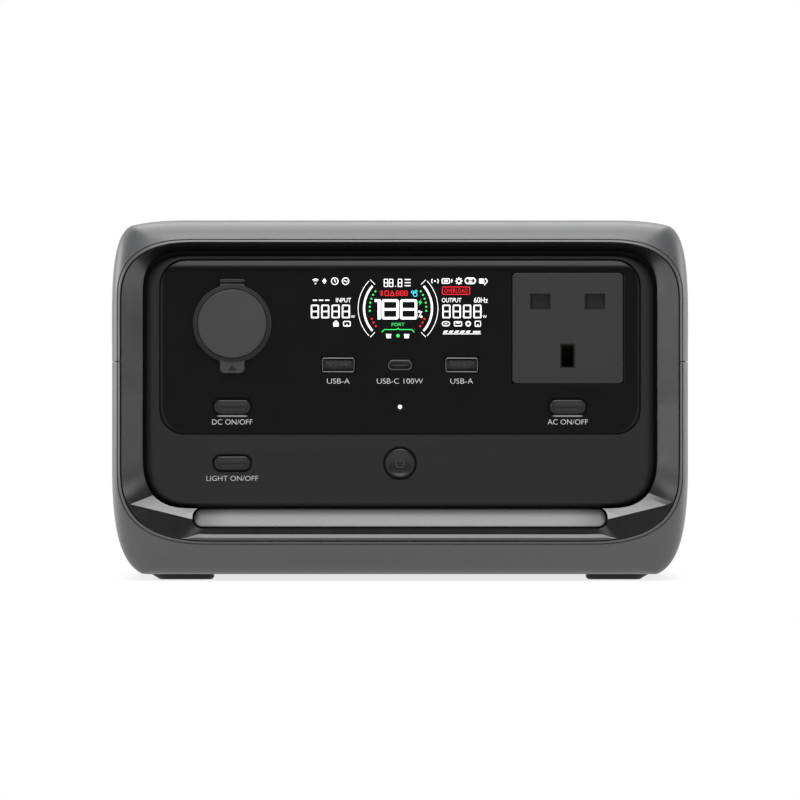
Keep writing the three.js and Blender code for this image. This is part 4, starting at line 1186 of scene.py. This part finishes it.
def meter(u0):
    """One power reading: four figures beside the gauge."""
    for figure in range(4):
        u = u0 + figure * 4.2
        eight(u, u + 3.3, -4.0, 1.5, 0.56)


def plug_icons():
    """Rows of small signs above and below the two readings."""
    for radius in (0.55, 1.2):
        ribbon(arc(-33.5, 10.3, radius + 0.45, 45, 135, 8), 0.34)
    dot(-33.5, 10.1, 0.34)
    filled([(-29.9, 9.9), (-29.0, 11.1), (-29.9, 12.3), (-30.8, 11.1)])
    for u in (-25.7, -21.3):
        ring_mark(u, 11.05, 1.35, 0.36)
    ribbon([(-25.7, 11.8), (-25.7, 11.0), (-25.2, 10.7)], 0.34)
    ribbon([(-22.1, 10.9), (-21.7, 11.35), (-20.9, 10.75), (-20.5, 11.2)], 0.32)
    for row in range(3):
        ribbon([(-34.6 + row * 2.5, 3.3), (-32.9 + row * 2.5, 3.3)], 0.5)
    filled(box(-26.3, -24.1, -7.4, -5.6, 0.3))
    filled(box(-25.7, -24.7, -5.6, -5.0))
    ribbon(box(-22.1, -19.4, -7.2, -5.3, 0.4), 0.38, True)
    filled([(-21.2, -7.0), (-20.3, -7.0), (-20.75, -6.2)])
    for side in (1, -1):
        centre = 0 if side > 0 else 180
        ribbon(arc(15.0, 11.1, 1.35, centre - 40, centre + 40, 8), 0.36)
    dot(15.0, 11.1, 0.36)
    ribbon(box(17.9, 20.9, 10.2, 12.0, 0.3), 0.36, True)
    filled(box(18.6, 20.2, 10.7, 11.5))
    filled([(21.9, 10.4), (21.3, 11.2), (21.9, 12.0), (22.2, 11.2)])
    ring_mark(24.7, 11.1, 0.8, 0.4)
    for tooth in range(8):
        turn = math.radians(45 * tooth)
        ribbon([(24.7 + r * math.cos(turn), 11.1 + r * math.sin(turn)) for r in (0.95, 1.5)], 0.4)
    ribbon(box(27.3, 31.4, 10.1, 12.3, 1.05), 0.5, True)
    for row in (10.75, 11.6):
        ribbon([(28.6, row), (30.2, row)], 0.36)
    filled(box(32.9, 35.0, 10.1, 12.1, 0.25))
    ribbon(arc(35.2, 11.1, 0.95, -80, 80, 8), 0.4)
    ribbon([(35.2, 10.1), (35.2, 9.4)], 0.4)
    ribbon(box(18.0, 20.9, -7.1, -5.4, 0.8), 0.36, True)
    filled(box(18.9, 20.0, -6.45, -6.05))
    ribbon(box(22.9, 25.8, -7.1, -5.4, 0.3), 0.42, True)
    filled(box(23.6, 25.1, -6.15, -5.8))
    ring_mark(28.5, -6.25, 0.85, 0.55)
    ribbon(box(31.3, 33.5, -7.3, -5.2, 0.35), 0.34, True)
    filled([(31.9, -7.0), (32.9, -7.0), (32.4, -6.3)])
    for dash in range(5):
        u = 18.2 + dash * 2.3
        filled([(u, -9.85), (u + 1.5, -9.85), (u + 2.15, -9.05), (u + 0.65, -9.05)])
    filled(box(30.4, 33.4, -9.8, -9.2))
    ribbon([(18.2, -10.35), (33.6, -10.35)], 0.3)
    ribbon(box(18.0, 29.1, 5.7, 8.7, 0.5), 0.34, True, colour="red")


FONT_CAPITAL = 0.69  # height of a capital in the built-in font at size 1


def lettering(name, text, place, width, cap_height, finish, weight=0.0):
    """Raised sans lettering fitted to a width and a capital height, centred on (x, z)."""
    curve = bpy.data.curves.new(name, "FONT")
    curve.body = text
    curve.offset = weight
    curve.resolution_u = 4
    curve.fill_mode = "FRONT"
    source = bpy.data.objects.new(name, curve)
    bpy.context.scene.collection.objects.link(source)
    bpy.context.view_layer.update()
    mesh = bpy.data.meshes.new_from_object(source.evaluated_get(bpy.context.evaluated_depsgraph_get()))
    bpy.data.objects.remove(source)
    flat = np.array([(v.co.x, v.co.y) for v in mesh.vertices])
    low, high = flat.min(0), flat.max(0)
    capital = FONT_CAPITAL + 2 * weight
    scale_x = width / (high[0] - low[0])
    scale_z = cap_height / capital
    middle = (low[0] + high[0]) / 2
    x, z = place
    points = [(x + (u - middle) * scale_x, MARK_FRONT, z + (v + weight - capital / 2) * scale_z)
              for u, v in flat]
    faces = [tuple(p.vertices) for p in mesh.polygons]
    bpy.data.meshes.remove(mesh)
    label = make(name, points, faces, finish)
    step = label.modifiers.new("depth", "SOLIDIFY")
    step.thickness = LETTER_DEPTH * MM
    step.offset = -1
    applied(label)
    tidy(label)
    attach(label, "housing")


def display():
    gauge()
    gauge_figures()
    meter(-35.4)
    meter(18.0)
    plug_icons()
    finishes = {"white": WHITE, "red": RED, "green": GREEN, "cyan": CYAN}
    for colour, (points, faces) in marks.items():
        piece = make(f"display_{colour}", points, faces, finishes[colour])
        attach(piece, "housing")

    for name, text, (u, v), width, height, finish in [
            ("word_input", "INPUT", (-22.15, 3.35), 6.1, 1.75, WHITE),
            ("word_output", "OUTPUT", (21.75, 3.35), 7.9, 1.75, WHITE),
            ("word_overload", "OVERLOAD", (23.55, 7.2), 9.4, 1.7, RED),
            ("word_hertz", "60Hz", (33.65, 3.4), 5.6, 2.2, WHITE),
            ("word_port", "PORT", (0, -6.5), 5.2, 1.3, GREEN),
            ("unit_left", "W", (-18.3, -3.35), 1.6, 1.2, WHITE),
            ("unit_right", "W", (35.2, -3.35), 1.6, 1.2, WHITE)]:
        lettering(name, text, (DISPLAY_X + u, DISPLAY_Z + v), width, height, finish)


def indicator_line(name, x, z):
    """The slim light under a button, its ends drawn to points."""
    half, shoulder, thick = 6.4, 5.2, 0.36
    outline = [(x - half, z), (x - shoulder, z - thick), (x + shoulder, z - thick), (x + half, z),
               (x + shoulder, z + thick), (x - shoulder, z + thick)]
    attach(prism(name, outline, MARK_FRONT, MARK_BACK, INDICATOR), "housing")


def labels():
    """Printed names of the buttons and ports, and the lights under the two upper buttons."""
    side = middle_mm("button_ac").x
    usb = middle_mm("usb_a_port_right").x
    key_row, port_row, capital = 64.2, 80.8, 2.05
    for name, text, place, width in [("label_dc", "DC ON/OFF", (-side, key_row), 16.3),
                                     ("label_ac", "AC ON/OFF", (side, key_row), 16.3),
                                     ("label_usb_a_left", "USB-A", (-usb, port_row), 9.2),
                                     ("label_usb_a_right", "USB-A", (usb, port_row), 9.2),
                                     ("label_usb_c", "USB-C 100W", (0, port_row), 18.7)]:
        lettering(name, text, place, width, capital, INK, weight=-0.012)
    lettering("label_light", "LIGHT ON/OFF", (-side, 41.3), 21.0, 2.0, CARRIER_INK, weight=-0.008)
    indicator_line("indicator_dc", -side, 66.6)
    indicator_line("indicator_ac", side, 66.6)


def status_light():
    """Frosted pipe with a domed tip and the lit spot in its middle."""
    _, back, spot = span_mm("status_light_pipe")
    profile = [(0.01, back.y), (1.17, back.y), (1.17, FACE + 0.35), (1.0, FACE + 0.12),
               (0.6, FACE + 0.06), (0.01, FACE + 0.05)]
    pipe = turned("status_light", profile, spot, NICKEL_PAINTED_SHADE, 32)
    settle(pipe, "housing", "status_light_pipe", slot="lens")
    lit = [(0.01, FACE + 0.3), (0.78, FACE + 0.3), (0.78, FACE + 0.06), (0.6, FACE),
           (0.01, FACE - 0.02)]
    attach(turned("status_spot", lit, spot, LED, 32), "housing")


display()
labels()
status_light()


# ---------------------------------------------------------------- base, vents and rear

def foot_pad(node):
    """Low rubber foot, flared at its outer end, its edges rounded off."""
    lo, hi, centre = span_mm(node)
    middle = centre.y
    half_y = (hi.y - lo.y) / 2
    outer = math.copysign(1, centre.x)
    inner_x, outer_x = sorted((lo.x, hi.x), key=abs)

    def ring(inset, end_inset, z):
        x0, x1 = sorted((inner_x + outer * inset, outer_x - outer * end_inset))
        outline = rounded((x1 - x0) / 2, half_y - inset, 4 - inset, (x0 + x1) / 2, middle, 8)
        return [(x, y, z) for x, y in outline]

    rings = [ring(0.9, 3.4, 0.0), ring(0.45, 3.0, 0.08), ring(0.15, 2.6, 0.35),
             ring(0.0, 1.9, 0.8), ring(0.0, 0.0, hi.z)]
    foot = loft(node.replace("foot", "pad"), rings, FOOT_RUBBER)
    grooves = [prism_x("groove", [(middle + y - 0.5, -1), (middle + y + 0.5, -1), (middle + y, 0.5)],
                       lo.x - 1, hi.x + 1) for y in (-7, -3.5, 0, 3.5, 7)]
    boolean(foot, grooves)
    settle(foot, "housing", node, slot="soft_rubber")


def grille(node):
    """Vent grille: a flush rounded plate with upright slots."""
    lo, hi, middle = span_mm(node)
    half_y, half_z = (hi.y - lo.y) / 2, (hi.z - lo.z) / 2
    pitch, frame_width = 5.4, 5
    outline = rounded(half_y, half_z, VENT_CORNER, middle.y, middle.z)
    plate = prism_x(f"{node}_plate", outline, lo.x, hi.x)
    slots = [prism_x("slot", rounded(1.5, half_z - frame_width, 1.45, middle.y + slot * pitch,
                                     middle.z, 6), lo.x - 1, hi.x + 1) for slot in range(-5, 6)]
    boolean(plate, slots, bevel=0.35)
    settle(plate, "housing", node, slot="inner_plastic", finish=VENT)


def rear_ports():
    """Plate with the mains inlet and the round DC input, each with a stepped rim."""
    lo, hi, middle = span_mm("rear_port_plate")
    inlet, jack = middle_mm("ac_inlet"), middle_mm("dc_inlet")
    outline = rounded((hi.x - lo.x) / 2, (hi.z - lo.z) / 2, REAR_CORNER, middle.x, middle.z)
    plate = prism("rear_plate", outline, lo.y, hi.y, VENT)
    holes = [prism("hole", rounded(14.3, 10.6, 2.3, inlet.x, inlet.z), lo.y - 9, hi.y + 9),
             prism("hole", circle(8.3, jack.x, jack.z, 64), lo.y - 9, hi.y + 9)]
    boolean(plate, holes, bevel=0.3)
    settle(plate, "housing", "rear_port_plate", slot="inner_plastic", finish=VENT)

    lo, hi = box_mm("ac_inlet")
    body = prism("mains_inlet", rounded(14, 10.3, 2, inlet.x, inlet.z), lo.y, hi.y, INNER)
    mouth = rounded(12, 8.2, 3, inlet.x, inlet.z)
    boolean(body, [prism("hole", mouth, lo.y + 3, hi.y + 1)], bevel=0.35)
    settle(body, "housing", "ac_inlet", slot="inner_plastic")
    for number, (x, z) in enumerate([(-7, 2), (7, 2), (0, -2)], 1):
        x, z = inlet.x + x, inlet.z + z
        pin = cuboid(f"inlet_pin_{number}", x - 1, x + 1, lo.y + 2.5, hi.y - 6.7, z - 2, z + 2, STEEL)
        round_edges(pin, 0.4, 3)
        tidy(pin)
        settle(pin, "housing", slot="steel")

    lo, hi = box_mm("dc_inlet")
    profile = [(0.01, lo.y), (7.7, lo.y), (8, lo.y + 0.3), (8, hi.y - 0.5), (7.5, hi.y), (4.9, hi.y),
               (4.4, hi.y - 0.35), (4.2, hi.y - 0.9), (4.2, lo.y + 2), (0.01, lo.y + 2)]
    settle(turned("dc_input", profile, jack, STEEL), "housing", "dc_inlet", slot="steel")
    profile = [(0.01, lo.y + 1.5), (0.7, lo.y + 1.5), (0.7, hi.y - 3.4), (0.55, hi.y - 3.1),
               (0.3, hi.y - 2.9), (0.01, hi.y - 2.85)]
    tip = turned("dc_input_pin", profile, jack, BRASS, 24)
    settle(tip, "housing", slot="contact_brass")


def base_screws():
    """Countersunk heads with hexagon sockets, seen from below."""
    for number, node in enumerate(SCREWS, 1):
        lo, hi, spot = span_mm(node)

        def ring(radius, z, steps=48):
            return [(x, y, z) for x, y in circle(radius, spot.x, spot.y, steps)]

        sections = [(2.75, lo.z), (3.0, lo.z + 0.3), (3.0, lo.z + 1.7), (1.6, lo.z + 2.4),
                    (1.5, lo.z + 2.9), (1.5, hi.z - 0.6), (0.9, hi.z)]
        head = loft(f"screw_{number}", [ring(radius, z) for radius, z in sections], STEEL)
        socket = loft("socket", [ring(1.35, lo.z - 1, 6), ring(1.3, lo.z + 1.4, 6)], INNER)
        boolean(head, [socket], bevel=0.08)
        settle(head, "housing", node, slot="steel")


def power_sign():
    """The moulded power sign on the round button."""
    lo, _, spot = span_mm("button_power")
    ribbon(arc(0, 0, 1.75, 125, 415, 28), 0.34, colour="sign")
    ribbon([(0, 0.5), (0, 2.1)], 0.34, colour="sign")
    points, faces = marks.pop("sign")
    shift = spot - Vector((DISPLAY_X, 0, DISPLAY_Z))
    deep = lo.y + 0.5 - MARK_FRONT
    sign = make("power_sign", [(x + shift.x, depth + deep, z + shift.z) for x, depth, z in points],
                faces, SIGN)
    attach(sign, "power_key")


for end in ("front", "rear"):
    for side_name in ("left", "right"):
        foot_pad(f"foot_{end}_{side_name}")
for side_name in ("left", "right"):
    grille(f"vent_grille_{side_name}")
rear_ports()
base_screws()
power_sign()


# ---------------------------------------------------------------- stage, light and camera

FLOOR_Z = -0.0003  # metres, just clear of the feet
FLOOR_RADIUS = 0.75
# Where each bright part of the surround begins and ends, as heights or depths of a direction
FRONT_EDGE = (-0.4, 0.0)
HORIZON_TOP = (0.34, 0.14)
BACKDROP_EDGE = (0.15, 0.35)
BACKDROP_TOP = (0.9, 0.65)
GROUND = (-0.02, -0.1)
SURROUND_DARK = 0.12
SURROUND_LIGHT = 1.0
VIEW_MARGIN = 1.384  # the picture's width over the object's


def pale_floor():
    """A white studio floor disc that runs out into the pale surround."""
    mat, tree, shader = material("floor_white", (0.2, 0.2, 0.2), 0.6, specular=0.1)
    vary_colour(tree, shader, noise(tree, 3, 2), (0.195, 0.195, 0.195), (0.205, 0.205, 0.205))
    shader.inputs["Emission Color"].default_value = (1, 1, 1, 1)
    shader.inputs["Emission Strength"].default_value = 0.75
    mesh = bpy.data.meshes.new("floor")
    rim = [(x, y, FLOOR_Z) for x, y in circle(FLOOR_RADIUS, steps=96)]
    mesh.from_pydata(rim, [], [tuple(range(len(rim)))])
    mesh.materials.append(mat)
    floor = bpy.data.objects.new("floor", mesh)
    bpy.context.scene.collection.objects.link(floor)


def surround():
    """A dim studio, white below, with a white band round the horizon and a taller backdrop
    behind; the band is left out in front."""
    world = bpy.data.worlds.new("studio")
    bpy.context.scene.world = world
    world.use_nodes = True
    tree = world.node_tree
    axes = split_axes(tree, "Generated")

    def ramp(axis, source):
        return remap(tree, axes[axis], source=source, soft=True)

    horizon = maths(tree, "MINIMUM", ramp("Z", HORIZON_TOP), ramp("Y", FRONT_EDGE))
    backdrop = maths(tree, "MINIMUM", ramp("Z", BACKDROP_TOP), ramp("Y", BACKDROP_EDGE))
    horizon = maths(tree, "MAXIMUM", horizon, backdrop)
    bright = maths(tree, "MAXIMUM", horizon, ramp("Z", GROUND))
    level = remap(tree, bright, SURROUND_DARK, SURROUND_LIGHT)
    tree.links.new(level, tree.nodes["Background"].inputs["Color"])


def softbox(name, place, aim, size, power):
    """A rectangular light of a size and power, turned to face a point."""
    light = bpy.data.lights.new(name, "AREA")
    light.shape = "RECTANGLE"
    light.size, light.size_y = size
    light.energy = power
    lamp = bpy.data.objects.new(name, light)
    lamp.location = place
    lamp.rotation_mode = "QUATERNION"
    lamp.rotation_quaternion = (Vector(aim) - Vector(place)).to_track_quat("-Z", "Y")
    bpy.context.scene.collection.objects.link(lamp)


def camera():
    """A long lens, level with the middle of the front and square to it."""
    data = bpy.data.cameras.new("camera")
    data.lens = 400
    data.sensor_width = 36
    frame_width = WIDTH * MM * VIEW_MARGIN
    distance = frame_width * data.lens / data.sensor_width
    cam = bpy.data.objects.new("camera", data)
    cam.location = (0, FRONT - distance, HEIGHT / 2 * MM)
    cam.rotation_euler = (math.pi / 2, 0, 0)
    data.clip_start, data.clip_end = 0.05, 50
    bpy.context.scene.collection.objects.link(cam)
    bpy.context.scene.camera = cam


pale_floor()
surround()
softbox("top_light", (0, 0.05, 1.0), (0, 0.0, 0.1), (0.9, 1.4), 15)
softbox("front_top_light", (0, -0.8, 0.85), (0, -0.1, 0.1), (0.7, 0.6), 7)
for side_name, way, power in [("left", -1, 7), ("right", 1, 3.8)]:
    softbox(f"{side_name}_light", (way, 0.05, 0.3), (0, 0.0, 0.07), (1.3, 0.5), power)
for side_name, way in [("left", -1), ("right", 1)]:
    softbox(f"{side_name}_edge_light", (way * 0.8, -0.8, 0.15), (0, -0.1, 0.08), (0.12, 0.5), 0.6)
camera()
